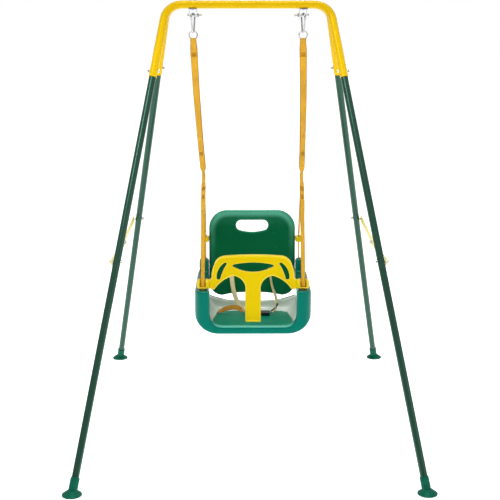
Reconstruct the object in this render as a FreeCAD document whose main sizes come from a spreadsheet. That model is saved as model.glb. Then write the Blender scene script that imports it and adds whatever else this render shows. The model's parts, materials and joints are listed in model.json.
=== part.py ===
"""Folding toddler swing: two U-shaped frame halves, a seat hung on webbing, and folding braces.

Millimetres. X runs across the frame, -Y is the side the child faces, Z is up.
The origin is on the ground, at the middle of the four feet.
"""
import FreeCAD, Part
import math
import os
import Sketcher
from FreeCAD import Placement, Rotation, Vector

DIMENSIONS = {
    "bar_height": (1190, "centre line of the two top bars above the ground"),
    "bar_offset": (12.5, "each top bar's centre line from the middle plane"),
    "apex_half_width": (223.4, "where a bar's line meets its leg's line"),
    "foot_half_width": (440, "foot centre from the middle plane, sideways"),
    "foot_half_depth": (560, "foot centre from the middle plane, fore and aft"),
    "bend_radius": (50, "centre line radius of the bend between bar and leg"),
    "top_tube_outer": (22, "yellow tube, outside diameter"),
    "top_tube_inner": (19.6, "yellow tube, bore"),
    "top_tube_end": (215, "end of the yellow tube, along the leg from the apex"),
    "upper_leg_start": (175, "upper end of the green tube inside the yellow one"),
    "upper_leg_end": (752, "lower end of the upper green tube"),
    "upper_leg_outer": (19.4, "upper green tube, outside diameter"),
    "upper_leg_inner": (17, "upper green tube, bore"),
    "lower_leg_outer": (19, "lower green tube, outside diameter"),
    "lower_leg_inner": (16.6, "lower green tube, bore"),
    "lower_leg_end": (1318, "lower end of the lower green tube"),
    "spigot_outer": (16.8, "swaged end that slides into the upper tube"),
    "spigot_inner": (14.4, "bore of the swaged end"),
    "spigot_length": (35, "length of the swaged end"),
    "foot_disc": (50, "foot flange diameter"),
    "foot_disc_edge": (3, "thickness of the flange at its rim"),
    "foot_neck_height": (13, "top of the flange's cone"),
    "foot_sleeve_outer": (23, "foot sleeve diameter"),
    "foot_sleeve_bore": (19.1, "foot sleeve bore"),
    "foot_sleeve_start": (1284, "upper end of the sleeve, along the leg from the apex"),
    "socket_bolt_place": (197, "socket bolt, along the leg from the apex"),
    "socket_bolt_size": (5, "socket bolt diameter"),
    "brace_height": (535, "brace pivots above the ground"),
    "brace_sag": (12, "middle pivot of a brace below its end pivots"),
    "brace_width": (18, "height of a brace's flat bar"),
    "brace_thickness": (2, "thickness of a brace's flat bar"),
    "brace_front_plane": (355, "inner face of the front link"),
    "brace_rear_plane": (357.3, "inner face of the rear link"),
    "brace_bolt_size": (6, "brace bolt diameter"),
    "head_stand_off": (1.3, "bolt head clear of a leaning tube's side"),
    "clearance": (0.3, "gap left between pieces that move past each other"),
    "running_fit": (0.1, "radial play of the frame hinge"),
    "pin_fit": (0.05, "radial play of a bolt in its hole"),
    "hanger_place": (152, "hanger bracket from the middle plane"),
    "hanger_width": (22, "hanger bracket across its ears"),
    "hanger_depth": (46, "hanger base plate, fore and aft"),
    "hanger_plate": (2, "sheet thickness of the hanger bracket"),
    "hanger_bolt_drop": (29.5, "hanger bolt below the top bars' centre lines"),
    "hanger_bolt_size": (6, "hanger bolt diameter"),
    "hinge_sleeve_outer": (26, "sleeve round the rear bar"),
    "carabiner_wire": (4.6, "carabiner wire diameter"),
    "carabiner_top_radius": (9.5, "centre line of the carabiner's wide end"),
    "carabiner_low_radius": (5, "centre line of the carabiner's narrow end"),
    "carabiner_spread": (37.3, "distance between the centres of its two ends"),
    "carabiner_turn": (27, "turn of the carabiner's plane about the vertical"),
    "gate_wire": (4, "carabiner gate diameter"),
    "gate_start": (8, "gate pivot, along the side from the narrow end"),
    "gate_reach": (22, "gate pivot to gate tip"),
    "ring_wire": (3.5, "hanger ring wire diameter"),
    "ring_radius": (11.25, "hanger ring centre line radius"),
    "webbing_width": (20, "hanging webbing width"),
    "webbing_double": (3.4, "two layers of hanging webbing"),
    "junction_height": (715, "where the two lower straps hook into the hanging webbing"),
    "junction_place": (139, "junction from the middle plane"),
    "eye_size": (12, "sewn eye at the junction"),
    "front_strap_width": (14, "front seat strap across"),
    "front_strap_thickness": (3, "front seat strap thickness"),
    "rear_strap_width": (18, "rear seat strap, fore and aft"),
    "rear_strap_thickness": (3, "rear seat strap thickness"),
    "strap_place": (140, "front seat strap from the middle plane, at the arms"),
    "rear_strap_place": (139, "rear seat strap from the middle plane"),
    "seat_bottom": (290, "underside of the seat"),
    "seat_floor": (293.5, "sitting surface"),
    "seat_lip": (313, "top of the seat's front lip"),
    "seat_wall_top": (412.5, "top of the side walls"),
    "seat_post_top": (450, "top of the rear posts"),
    "seat_front": (-145, "front face of the seat"),
    "seat_back": (137, "rear face of the seat"),
    "seat_half_width": (167.5, "seat's widest point from its middle"),
    "seat_corner": (72, "radius of the seat's lower corners"),
    "seat_skin": (3, "wall thickness of the moulded seat"),
    "arm_place": (-120, "strap slot in the front arms, fore and aft"),
    "back_thickness": (14, "backrest thickness"),
    "back_half_width": (129, "backrest half width"),
    "back_top": (594, "top of the backrest"),
    "back_lean": (8, "backrest recline"),
    "back_pin_depth": (130, "backrest pins behind the middle plane"),
    "knob_height": (508, "strap knobs above the ground"),
    "knob_depth": (130, "strap knobs behind the middle plane"),
    "seat_sway": (12.5, "how far the seat hangs to the right of the middle at rest"),
    "t_bar_plane": (-119, "middle of the T bar's plate, fore and aft"),
    "t_bar_plate": (12, "T bar thickness at its raised border"),
    "t_bar_recess": (2.5, "depth of the T bar's faces inside the border"),
    "t_bar_border": (4.5, "width of the T bar's raised border"),
    "t_bar_top": (512.5, "top of the T bar"),
    "t_bar_sleeve_top": (441.5, "top of the T bar's strap sleeves"),
    "t_bar_sleeve_low": (416.5, "bottom of the T bar's strap sleeves"),
    "t_bar_sleeve_depth": (28, "T bar sleeves, fore and aft"),
    "t_bar_stem_low": (320, "bottom of the T bar's stem"),
    "harness_radius": (3, "plain round stand-in for harness webbing"),
    "buckle_height": (11, "harness buckle thickness"),
    "button_gap": (2.4, "free space under the buckle's button"),
}

document = FreeCAD.newDocument("toddler_swing")
sheet = document.addObject("Spreadsheet::Sheet", "dims")
nodes = []

X_AXIS = Vector(1, 0, 0)
Y_AXIS = Vector(0, 1, 0)
Z_AXIS = Vector(0, 0, 1)
SIDES = (("l", -1), ("r", 1))
FRONT, REAR = -1, 1
# A sketch drawn as X against Z, and one drawn as Y against Z.
FRONT_VIEW = Rotation(X_AXIS, Z_AXIS, -Y_AXIS, "XYZ")
SIDE_VIEW = Rotation(Y_AXIS, Z_AXIS, X_AXIS, "XYZ")


def fill_sheet():
    for row, (alias, (value, meaning)) in enumerate(DIMENSIONS.items(), 1):
        sheet.set(f"A{row}", meaning)
        sheet.set(f"B{row}", str(value))
        sheet.setAlias(f"B{row}", alias)
    document.recompute()


def size(alias):
    """A dimension's present value, for places and outlines."""
    return float(sheet.get(alias))


def keep(node, thing):
    """Give a finished sub-part its node name and list it for export."""
    thing.Label = node
    nodes.append(thing)


def hang(node, thing):
    """Keep a sub-part of the seat, moved sideways to where the seat hangs at rest."""
    thing.Placement = Placement(X_AXIS * size("seat_sway"), Rotation())
    keep(node, thing)


def primitive(kind, name, place, **sizes):
    thing = document.addObject(kind, name)
    for prop, expression in sizes.items():
        thing.setExpression(prop, str(expression))
    thing.Placement = place
    return thing


def rod(name, start, along, length, diameter):
    """A cylinder from a point along a direction."""
    place = Placement(start, Rotation(Z_AXIS, along))
    return primitive("Part::Cylinder", name, place, Height=length, Radius=f"({diameter}) / 2")


def hexagon(name, start, along, height, across_flats):
    place = Placement(start, Rotation(Z_AXIS, along))
    circumradius = f"({across_flats}) / 2 / cos(30)"
    return primitive("Part::Prism", name, place, Height=height, Circumradius=circumradius)


def block(name, corner, length, width, height, turn=Rotation()):
    place = Placement(corner, turn)
    return primitive("Part::Box", name, place, Length=length, Width=width, Height=height)


def join(name, *pieces):
    thing = document.addObject("Part::MultiFuse", name)
    thing.Shapes = list(pieces)
    return thing


def cut(name, base, *tools):
    tool = tools[0] if len(tools) == 1 else join(name + "_tools", *tools)
    thing = document.addObject("Part::Cut", name)
    thing.Base = base
    thing.Tool = tool
    return thing


def common(name, first, second):
    thing = document.addObject("Part::MultiCommon", name)
    thing.Shapes = [first, second]
    return thing


def group(name, *pieces):
    """Identical fasteners, kept as separate solids of one node."""
    thing = document.addObject("Part::Compound", name)
    thing.Links = list(pieces)
    return thing


def outline(name, view, origin, *loops):
    """A sketch of closed loops. A loop is a start and steps: (end,) a line, (through, end) an arc."""
    sketch = document.addObject("Sketcher::SketchObject", name)
    sketch.Placement = Placement(origin, view)
    for start, *steps in loops:
        here = Vector(*start, 0)
        for step in steps:
            points = [Vector(*point, 0) for point in step]
            edge = Part.LineSegment(here, points[0]) if len(step) == 1 else Part.Arc(here, *points)
            sketch.addGeometry(edge)
            here = points[-1]
    return sketch


def extrude(name, profile, along, length):
    thing = document.addObject("Part::Extrusion", name)
    thing.Base = profile
    thing.DirMode = "Custom"
    thing.Dir = along
    thing.setExpression("LengthFwd", str(length))
    thing.Solid = True
    return thing


def fillet(name, base, radius, wanted):
    """Round the edges of base that the test accepts."""
    document.recompute()
    thing = document.addObject("Part::Fillet", name)
    thing.Base = base
    edges = enumerate(base.Shape.Edges, 1)
    thing.Edges = [(number, radius, radius) for number, edge in edges if wanted(edge)]
    return thing


# ---------------------------------------------------------------- frame lines

def apex(side, end):
    return Vector(side * size("apex_half_width"), end * size("bar_offset"), size("bar_height"))


def leg_direction(side, end):
    foot = Vector(side * size("foot_half_width"), end * size("foot_half_depth"), 0)
    return (foot - apex(side, end)).normalize()


def leg_point(side, end, distance):
    return apex(side, end) + leg_direction(side, end) * distance


def leg_at_height(side, end, height):
    direction = leg_direction(side, end)
    return apex(side, end) + direction * ((height - size("bar_height")) / direction.z)


def end_name(end):
    return "front" if end == FRONT else "rear"


# ---------------------------------------------------------------- frame tubes

def origin_plane(body, role):
    return next(feature for feature in body.Origin.OriginFeatures if feature.Role == role)


def attached_sketch(body, name, role):
    sketch = body.newObject("Sketcher::SketchObject", name)
    sketch.AttachmentSupport = [(origin_plane(body, role), "")]
    sketch.MapMode = "FlatFace"
    return sketch


def half_tube_path(sketch, splay, run):
    """Half the bar, the bend and one leg, in the tube's own plane with the leg downwards."""
    bend = size("bend_radius")
    tangent = bend * math.tan((math.pi / 2 - splay) / 2)
    bar_end = size("apex_half_width") - tangent
    centre = Vector(bar_end, -bend, 0)
    down = Vector(math.sin(splay), -math.cos(splay), 0)
    corner = Vector(size("apex_half_width"), 0, 0)
    sketch.addGeometry(Part.LineSegment(Vector(), Vector(bar_end, 0, 0)))
    circle = Part.Circle(centre, Z_AXIS, bend)
    sketch.addGeometry(Part.ArcOfCircle(circle, splay, math.pi / 2))
    sketch.addGeometry(Part.LineSegment(corner + down * tangent, corner + down * run))


def top_tube(end):
    """The yellow U: a bar across the top, bent down into the start of both legs."""
    name = f"{end_name(end)}_top_tube"
    direction = leg_direction(1, end)
    splay = math.asin(direction.x)
    tilt = math.degrees(math.atan2(end * abs(direction.y), abs(direction.z)))
    body = document.addObject("PartDesign::Body", name + "_body")
    path = attached_sketch(body, name + "_path", "XZ_Plane")
    half_tube_path(path, splay, size("top_tube_end"))
    section = attached_sketch(body, name + "_section", "YZ_Plane")
    section.addGeometry(Part.Circle(Vector(), Z_AXIS, size("top_tube_outer") / 2))
    section.addGeometry(Part.Circle(Vector(), Z_AXIS, size("top_tube_inner") / 2))
    for circle, alias in ((0, "top_tube_outer"), (1, "top_tube_inner")):
        radius = Sketcher.Constraint("Radius", circle, size(alias) / 2)
        number = section.addConstraint(radius)
        section.setExpression(f"Constraints[{number}]", f"dims.{alias} / 2")
    document.recompute()
    pipe = body.newObject("PartDesign::AdditivePipe", name + "_half")
    pipe.Profile = section
    pipe.Spine = (path, [])
    document.recompute()
    mirrored = body.newObject("PartDesign::Mirrored", name + "_whole")
    mirrored.Originals = [pipe]
    mirrored.MirrorPlane = (origin_plane(body, "YZ_Plane"), [""])
    body.Tip = mirrored
    middle = Vector(0, end * size("bar_offset"), size("bar_height"))
    body.Placement = Placement(middle, Rotation(X_AXIS, tilt))
    holes = []
    for letter, side in SIDES:
        start = leg_point(side, end, size("socket_bolt_place")) - X_AXIS * size("top_tube_outer")
        hole = rod(f"{name}_hole_{letter}", start, X_AXIS, "2 * dims.top_tube_outer",
                   "dims.socket_bolt_size + 2 * dims.pin_fit")
        holes.append(hole)
    if end == FRONT:
        holes += [rivet_hole(letter, side, "tube") for letter, side in SIDES]
    keep(name, cut(name, body, *holes))


def rivet_hole(letter, side, what):
    start = Vector(side * size("hanger_place"), -size("bar_offset"), size("bar_height") - 16)
    return rod(f"rivet_hole_{what}_{letter}", start, Z_AXIS, 8, 4.1)


def hollow(name, start, along, length, outer, inner):
    return cut(name, rod(name + "_outside", start, along, length, outer),
               rod(name + "_bore", start - along, along, f"{length} + 2", inner))


def cross_hole(name, point, diameter):
    start = point - X_AXIS * size("top_tube_outer")
    return rod(name, start, X_AXIS, "2 * dims.top_tube_outer", f"{diameter} + 2 * dims.pin_fit")


def upper_leg(letter, side, end):
    name = f"{end_name(end)}_upper_leg_{letter}"
    along = leg_direction(side, end)
    tube = hollow(name + "_tube", leg_point(side, end, size("upper_leg_start")), along,
                  "dims.upper_leg_end - dims.upper_leg_start", "dims.upper_leg_outer",
                  "dims.upper_leg_inner")
    socket = leg_point(side, end, size("socket_bolt_place"))
    brace = leg_at_height(side, end, size("brace_height"))
    keep(name, cut(name, tube, cross_hole(name + "_socket", socket, "dims.socket_bolt_size"),
                   cross_hole(name + "_brace", brace, "dims.brace_bolt_size")))


def lower_leg(letter, side, end):
    name = f"{end_name(end)}_lower_leg_{letter}"
    along = leg_direction(side, end)
    start = leg_point(side, end, size("upper_leg_end"))
    spigot = leg_point(side, end, size("upper_leg_end") - size("spigot_length"))
    body = rod(name + "_outside", start, along, "dims.lower_leg_end - dims.upper_leg_end",
               "dims.lower_leg_outer")
    neck = rod(name + "_spigot", spigot, along, "dims.spigot_length + 1", "dims.spigot_outer")
    bore = rod(name + "_bore", start + along * 4, along,
               "dims.lower_leg_end - dims.upper_leg_end", "dims.lower_leg_inner")
    neck_bore = rod(name + "_spigot_bore", spigot - along, along, "dims.spigot_length + 10",
                    "dims.spigot_inner")
    pivot = leg_at_height(side, end, size("brace_height"))
    keep(name, cut(name, join(name + "_solid", body, neck), bore, neck_bore,
                   cross_hole(name + "_brace", pivot, "dims.brace_bolt_size")))


def foot(letter, side, end):
    """A rubber foot: a flat round flange on the ground and a sleeve along the leg."""
    name = f"{end_name(end)}_foot_{letter}"
    along = leg_direction(side, end)
    centre = Vector(side * size("foot_half_width"), end * size("foot_half_depth"), 0)
    disc = rod(name + "_disc", centre, Z_AXIS, "dims.foot_disc_edge", "dims.foot_disc")
    cone = primitive("Part::Cone", name + "_cone", Placement(centre + Z_AXIS * size("foot_disc_edge"),
                     Rotation()), Radius1="dims.foot_disc / 2", Radius2="dims.foot_sleeve_outer / 2",
                     Height="dims.foot_neck_height - dims.foot_disc_edge")
    sleeve = rod(name + "_sleeve", leg_point(side, end, size("foot_sleeve_start")), along, 60,
                 "dims.foot_sleeve_outer")
    ground = rod(name + "_above_ground", centre, Z_AXIS, 90, "3 * dims.foot_disc")
    body = common(name + "_solid", join(name + "_whole", disc, cone, sleeve), ground)
    bore = rod(name + "_bore", leg_point(side, end, size("foot_sleeve_start") - 1), along,
               "dims.lower_leg_end - dims.foot_sleeve_start + 1", "dims.foot_sleeve_bore")
    keep(name, cut(name, body, bore))


# ---------------------------------------------------------------- fasteners

def nut(name, start, along, height, across_flats, hole):
    return cut(name, hexagon(name + "_hexagon", start, along, height, across_flats),
               rod(name + "_hole", start - along, along, f"{height} + 2", f"{hole} + 2 * dims.pin_fit"))


def bolt(name, head_face, along, length, diameter, head_diameter, head_height):
    """A round-headed bolt: its shank runs from the face under its head."""
    shank = rod(name + "_shank", head_face, along, length, diameter)
    head = rod(name + "_head", head_face - along * head_height, along, head_height, head_diameter)
    return join(name, shank, head)


def socket_fasteners(end):
    """Bolts that lock the green tubes in the yellow ones, with the nuts outside on the front half."""
    bolts, nuts = [], []
    wall = size("top_tube_outer") / 2 + size("head_stand_off")
    for letter, side in SIDES:
        centre = leg_point(side, end, size("socket_bolt_place"))
        along = X_AXIS * (side if end == FRONT else -side)
        name = f"{end_name(end)}_socket"
        bolts.append(bolt(f"{name}_bolt_{letter}", centre - along * wall, along, wall + 19,
                          "dims.socket_bolt_size", 9, 3))
        nuts.append(nut(f"{name}_nut_{letter}", centre + along * wall, along, 4, 8,
                        "dims.socket_bolt_size"))
    keep(f"{end_name(end)}_socket_bolts", group(f"{end_name(end)}_socket_bolts", *bolts))
    keep(f"{end_name(end)}_socket_nuts", group(f"{end_name(end)}_socket_nuts", *nuts))


# ---------------------------------------------------------------- hangers

def hanger_centre(side):
    height = size("bar_height") - size("hanger_bolt_drop")
    return Vector(side * size("hanger_place"), 0, height)


def hanger_bracket(letter, side):
    """A bent steel channel under both bars, with a hinge sleeve in which the rear bar turns."""
    name = f"hanger_bracket_{letter}"
    half = size("hanger_width") / 2
    plate = size("hanger_plate")
    centre = hanger_centre(side)
    top = size("bar_height") - size("top_tube_outer") / 2
    corner = Vector(centre.x - half, -size("hanger_depth") / 2, top - plate)
    base = block(name + "_base", corner, "dims.hanger_width", "dims.hanger_depth",
                 "dims.hanger_plate")
    ears = []
    for number, edge in enumerate((-half, half - plate)):
        low = centre.z - 1
        loop = ((-12, top), ((-8, low),), ((0, low - 8), (8, low)), ((12, top),), ((-12, top),))
        profile = outline(f"{name}_ear_outline_{number}", SIDE_VIEW, Vector(centre.x + edge, 0, 0), loop)
        ears.append(extrude(f"{name}_ear_{number}", profile, X_AXIS, "dims.hanger_plate"))
    bar = Vector(centre.x - half, size("bar_offset"), size("bar_height"))
    sleeve = rod(name + "_sleeve", bar, X_AXIS, "dims.hanger_width", "dims.hinge_sleeve_outer")
    bore = rod(name + "_bore", bar - X_AXIS, X_AXIS, "dims.hanger_width + 2",
               "dims.top_tube_outer + 2 * dims.running_fit")
    front_bar = Vector(centre.x - half - 1, -size("bar_offset"), size("bar_height"))
    clear = rod(name + "_front_bar", front_bar, X_AXIS, "dims.hanger_width + 2",
                "dims.top_tube_outer")
    hole = rod(name + "_hole", centre - X_AXIS * 20, X_AXIS, 40,
               "dims.hanger_bolt_size + 2 * dims.pin_fit")
    body = join(name + "_solid", base, *ears, sleeve)
    keep(name, cut(name, body, bore, clear, hole, rivet_hole(letter, side, "bracket")))


def hanger_fasteners():
    bolts, nuts, rivets = [], [], []
    half = size("hanger_width") / 2
    for letter, side in SIDES:
        inward = -X_AXIS * side
        centre = hanger_centre(side)
        bolts.append(bolt(f"hanger_bolt_{letter}", centre - inward * half, inward, 36,
                          "dims.hanger_bolt_size", 11, 4))
        nuts.append(nut(f"hanger_nut_{letter}", centre + inward * half, inward, 5, 10,
                        "dims.hanger_bolt_size"))
        under = Vector(centre.x, -size("bar_offset"),
                       size("bar_height") - size("top_tube_outer") / 2 - size("hanger_plate"))
        rivets.append(bolt(f"hanger_rivet_{letter}", under, Z_AXIS, 5, 4, 7, 1.4))
    keep("hanger_bolts", group("hanger_bolts", *bolts))
    keep("hanger_nuts", group("hanger_nuts", *nuts))
    keep("hanger_rivets", group("hanger_rivets", *rivets))


def carabiner_lines(side):
    """The carabiner's plane and the centres of its two ends."""
    turn = Rotation(Z_AXIS, 90 + side * size("carabiner_turn"))
    bolt_top = size("hanger_bolt_size") / 2 + size("clearance") + size("carabiner_wire") / 2
    centre = hanger_centre(side) + Z_AXIS * (bolt_top - size("carabiner_top_radius"))
    lean = math.asin((size("carabiner_top_radius") - size("carabiner_low_radius"))
                     / size("carabiner_spread"))
    return turn, centre, lean


def carabiner_point(side, across, up):
    """A point in the carabiner's plane, from the centre of its wide end."""
    turn, centre, _ = carabiner_lines(side)
    return centre + turn.multVec(Vector(across, 0, up))


def gate_line(side):
    """Start of the gate's side at the narrow end, and the direction along it."""
    _, _, lean = carabiner_lines(side)
    low = size("carabiner_low_radius")
    start = carabiner_point(side, -low * math.cos(lean), -size("carabiner_spread") - low * math.sin(lean))
    turn = carabiner_lines(side)[0]
    along = turn.multVec(Vector(-math.sin(lean), 0, math.cos(lean)))
    return start, along


def carabiner(letter, side):
    """A pear-shaped wire loop with its wide end on the hanger bolt, open where the gate closes it."""
    name = f"carabiner_{letter}"
    turn, centre, lean = carabiner_lines(side)
    wide, narrow = size("carabiner_top_radius"), size("carabiner_low_radius")
    low = Vector(0, -size("carabiner_spread"), 0)
    out = Vector(math.cos(lean), -math.sin(lean), 0)
    mirrored = Vector(-out.x, out.y, 0)
    side_line = (mirrored * wide - low - mirrored * narrow).normalize()
    gate_foot = low + mirrored * narrow + side_line * (size("gate_start") - size("gate_wire") / 2 - 0.3)
    nose = low + mirrored * narrow + side_line * (size("gate_start") + size("gate_reach") + 0.4)
    edges = [
        Part.LineSegment(nose, mirrored * wide).toShape(),
        Part.Arc(mirrored * wide, Vector(0, wide, 0), out * wide).toShape(),
        Part.LineSegment(out * wide, low + out * narrow).toShape(),
        Part.Arc(low + out * narrow, low - Vector(0, narrow, 0), low + mirrored * narrow).toShape(),
        Part.LineSegment(low + mirrored * narrow, gate_foot).toShape(),
    ]
    path = Part.Wire(edges)
    section = Part.Wire(Part.Circle(nose, mirrored * wide - nose, size("carabiner_wire") / 2).toShape())
    wire = path.makePipeShell([section], True, True)
    thing = document.addObject("Part::Feature", name)
    thing.Shape = wire
    thing.Placement = Placement(centre, turn * Rotation(X_AXIS, 90))
    keep(name, thing)


def carabiner_gate(letter, side):
    name = f"carabiner_gate_{letter}"
    start, along = gate_line(side)
    pivot = start + along * size("gate_start")
    shaft = rod(name + "_shaft", pivot, along, "dims.gate_reach", "dims.gate_wire")
    ball = primitive("Part::Sphere", name + "_ball", Placement(pivot, Rotation()),
                     Radius="dims.gate_wire / 2")
    hinge = carabiner_lines(side)[0].multVec(Y_AXIS)
    pin = rod(name + "_pin", pivot - hinge * 2.6, hinge, 5.2, 1.6)
    keep(name, join(name, shaft, ball, pin))


def ring_centre(side):
    low = carabiner_point(side, 0, -size("carabiner_spread") - size("carabiner_low_radius"))
    lift = (size("carabiner_wire") + size("ring_wire")) / 2 + 0.1
    return low + Z_AXIS * (lift - size("ring_radius"))


def hanger_ring(letter, side):
    name = f"hanger_ring_{letter}"
    ring = primitive("Part::Torus", name, Placement(ring_centre(side), Rotation(X_AXIS, 90)),
                     Radius1="dims.ring_radius", Radius2="dims.ring_wire / 2")
    keep(name, ring)


# ---------------------------------------------------------------- straps

def strip(route, width):
    """A closed loop of the given width round a route of (y, z) points, mitred at its bends."""
    points = [Vector(y, z, 0) for y, z in route]
    left, right = [], []
    for number, point in enumerate(points):
        before = points[max(number - 1, 0)]
        after = points[min(number + 1, len(points) - 1)]
        first = (point - before) if number else (after - point)
        second = (after - point) if number < len(points) - 1 else first
        first.normalize()
        second.normalize()
        middle = (first + second).normalize()
        normal = Vector(-middle.y, middle.x, 0)
        reach = width / 2 / max(0.5, middle.dot(first))
        left.append(point + normal * reach)
        right.append(point - normal * reach)
    ring = left + right[::-1]
    corners = [(point.x, point.y) for point in ring]
    return (corners[0], *[(corner,) for corner in corners[1:]], (corners[0],))


def hanging_webbing(letter, side):
    """Doubled webbing from the ring down to the junction, leaning slightly inwards."""
    name = f"hanging_webbing_{letter}"
    half = size("webbing_width") / 2
    top = ring_centre(side).z - size("ring_radius") - size("ring_wire") / 2
    low = size("junction_height") + size("eye_size") / 2
    outer = side * size("hanger_place")
    inner = side * size("junction_place") + size("seat_sway")
    loop = ((outer - half, top), ((outer + half, top),), ((inner + half, low),),
            ((inner - half, low),), ((outer - half, top),))
    profile = outline(name + "_outline", FRONT_VIEW, Vector(0, -size("webbing_double") / 2, 0), loop)
    keep(name, extrude(name, profile, Y_AXIS, "dims.webbing_double"))


def front_strap(letter, side):
    """From the sewn eye at the junction through the T bar's sleeve into the front arm."""
    name = f"front_strap_{letter}"
    x = side * size("strap_place") - size("front_strap_width") / 2
    eye = rod(name + "_eye", Vector(x, 0, size("junction_height")), X_AXIS,
              "dims.front_strap_width", "dims.eye_size")
    arm = size("arm_place")
    route = ((0, size("junction_height")), (arm, 421), (arm, 392))
    profile = outline(name + "_outline", SIDE_VIEW, Vector(x, 0, 0),
                      strip(route, size("front_strap_thickness")))
    run = extrude(name + "_run", profile, X_AXIS, "dims.front_strap_width")
    hang(name, join(name, eye, run))


def rear_strap(letter, side):
    """From the junction through the backrest's knob into the rear post, edge to the front."""
    name = f"rear_strap_{letter}"
    x = side * size("rear_strap_place") - size("rear_strap_thickness") / 2
    start = (9, size("junction_height") - 14)
    route = (start, (size("knob_depth"), size("knob_height") + 4), (121, 452), (121, 425))
    profile = outline(name + "_outline", SIDE_VIEW, Vector(x, 0, 0),
                      strip(route, size("rear_strap_width")))
    run = extrude(name + "_run", profile, X_AXIS, "dims.rear_strap_thickness")
    eye = rod(name + "_eye_gap", Vector(x - 20, 0, size("junction_height")), X_AXIS, 40,
              "dims.eye_size")
    hang(name, cut(name, run, eye))


def mirror_loop(loop, side):
    """The same outline on the right (1) or on the left (-1)."""
    start, *steps = loop
    turned = [tuple((side * x, z) for x, z in step) for step in steps]
    return ((side * start[0], start[1]), *turned)


# ---------------------------------------------------------------- seat

def tub_profile(half_width, low, corner, top):
    """A front-view loop: flat bottom, round lower corners, upright sides."""
    lean = corner * (1 - math.sqrt(0.5))
    flat = half_width - corner
    return (
        (-flat, low),
        ((flat, low),),
        ((half_width - lean, low + lean), (half_width, low + corner)),
        ((half_width, top),),
        ((-half_width, top),),
        ((-half_width, low + corner),),
        ((-half_width + lean, low + lean), (-flat, low)),
    )


def seat_body_profile():
    """Front view of the seat's outside: wide low, drawn in a little at the rounded wall tops."""
    wide, low, top = size("seat_half_width"), size("seat_bottom"), size("seat_wall_top")
    corner, shoulder = size("seat_corner"), 8
    lean = corner * (1 - math.sqrt(0.5))
    neck = wide - 5
    right = (
        ((wide - lean, low + lean), (wide, low + corner)),
        ((wide - 0.5, low + corner + 18), (neck + 1, top - shoulder)),
        ((neck - 2, top - 2.5), (neck - shoulder, top)),
    )
    start = (wide - corner, low)
    left = (
        ((-neck + 2, top - 2.5), (-neck - 1, top - shoulder)),
        ((-wide + 0.5, low + corner + 18), (-wide, low + corner)),
        ((-wide + lean, low + lean), (-start[0], low)),
    )
    return ((-start[0], low), (start,), *right, ((-neck + shoulder, top),), *left)


def seat_plan(inset, front, back, corner):
    """Top view of the seat's outside: bowed sides and round corners."""
    front_half, middle_half = 162.5 - inset, size("seat_half_width") + 1 - inset
    lean = corner * (1 - math.sqrt(0.5))
    return (
        (-front_half + corner, front),
        ((front_half - corner, front),),
        ((front_half - lean, front + lean), (front_half, front + corner)),
        ((middle_half, 0), (front_half + 2, back - corner)),
        ((front_half + 2 - lean, back - lean), (front_half + 2 - corner, back)),
        ((-front_half - 2 + corner, back),),
        ((-front_half - 2 + lean, back - lean), (-front_half - 2, back - corner)),
        ((-middle_half, 0), (-front_half, front + corner)),
        ((-front_half + lean, front + lean), (-front_half + corner, front)),
    )


def seat_block(name, profile, plan, front, back):
    """The solid that fills both a front view and a top view."""
    front_sketch = outline(name + "_front_view", FRONT_VIEW, Vector(0, front, 0), profile)
    front_solid = extrude(name + "_front_solid", front_sketch, Y_AXIS, back - front)
    top_sketch = outline(name + "_top_view", Rotation(), Vector(0, 0, size("seat_bottom") - 20), plan)
    top_solid = extrude(name + "_top_solid", top_sketch, Z_AXIS, 300)
    return common(name, front_solid, top_solid)


def post(letter, side):
    """A rear post that carries the rear strap and holds the backrest's foot."""
    low, top, round_top = size("seat_wall_top") - 60, size("seat_post_top"), 7
    inner, outer = size("back_half_width") + 0.3, 158
    lean = round_top * (1 - math.sqrt(0.5))
    loop = (
        (inner, low),
        ((outer, low),),
        ((outer, top - round_top),),
        ((outer - lean, top - lean), (outer - round_top, top)),
        ((inner + round_top, top),),
        ((inner + lean, top - lean), (inner, top - round_top)),
        ((inner, low),),
    )
    sketch = outline(f"post_view_{letter}", FRONT_VIEW, Vector(0, 105, 0), mirror_loop(loop, side))
    return extrude(f"post_{letter}", sketch, Y_AXIS, 31)


def wall_hollow(letter, side):
    """The space inside a side wall, open underneath like the real moulding."""
    skin, top = size("seat_skin"), size("seat_wall_top") - size("seat_skin")
    radius = size("seat_corner")
    inner_corner = (94, 327.5)
    outer_corner = (size("seat_half_width") - radius, size("seat_bottom") + radius)

    def on_corner(centre, radius, degrees):
        angle = math.radians(degrees)
        return (centre[0] + radius * math.cos(angle), centre[1] + radius * math.sin(angle))

    inner = [on_corner(inner_corner, 34 + skin + 0.5, angle) for angle in (-62, -30, 0)]
    outer = [on_corner(outer_corner, radius - skin, angle) for angle in (0, -30, -60)]
    loop = (
        (inner[2][0], top),
        ((152, top),),
        ((158, 395),),
        (outer[0],),
        (outer[1], outer[2]),
        ((outer[2][0] - 2, 280),),
        ((inner[0][0], 280),),
        (inner[0],),
        (inner[1], inner[2]),
        ((inner[2][0], top),),
    )
    sketch = outline(f"wall_view_{letter}", FRONT_VIEW, Vector(0, -136, 0), mirror_loop(loop, side))
    plan = extrude(f"wall_run_{letter}", sketch, Y_AXIS, 264)
    inset = outline(f"wall_plan_{letter}", Rotation(), Vector(0, 0, 270),
                    seat_plan(size("seat_skin") + 1, -140, 132, 24))
    return common(f"wall_hollow_{letter}", plan,
                  extrude(f"wall_plan_solid_{letter}", inset, Z_AXIS, 200))


def strap_slots(letter, side):
    front = block(f"arm_slot_{letter}", Vector(side * size("strap_place") - 8.5,
                  size("arm_place") - 3, 380), 17, 6, 60)
    rear = block(f"post_slot_{letter}", Vector(side * size("rear_strap_place") - 3, 110, 395),
                 6, 22, 80)
    return front, rear


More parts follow.
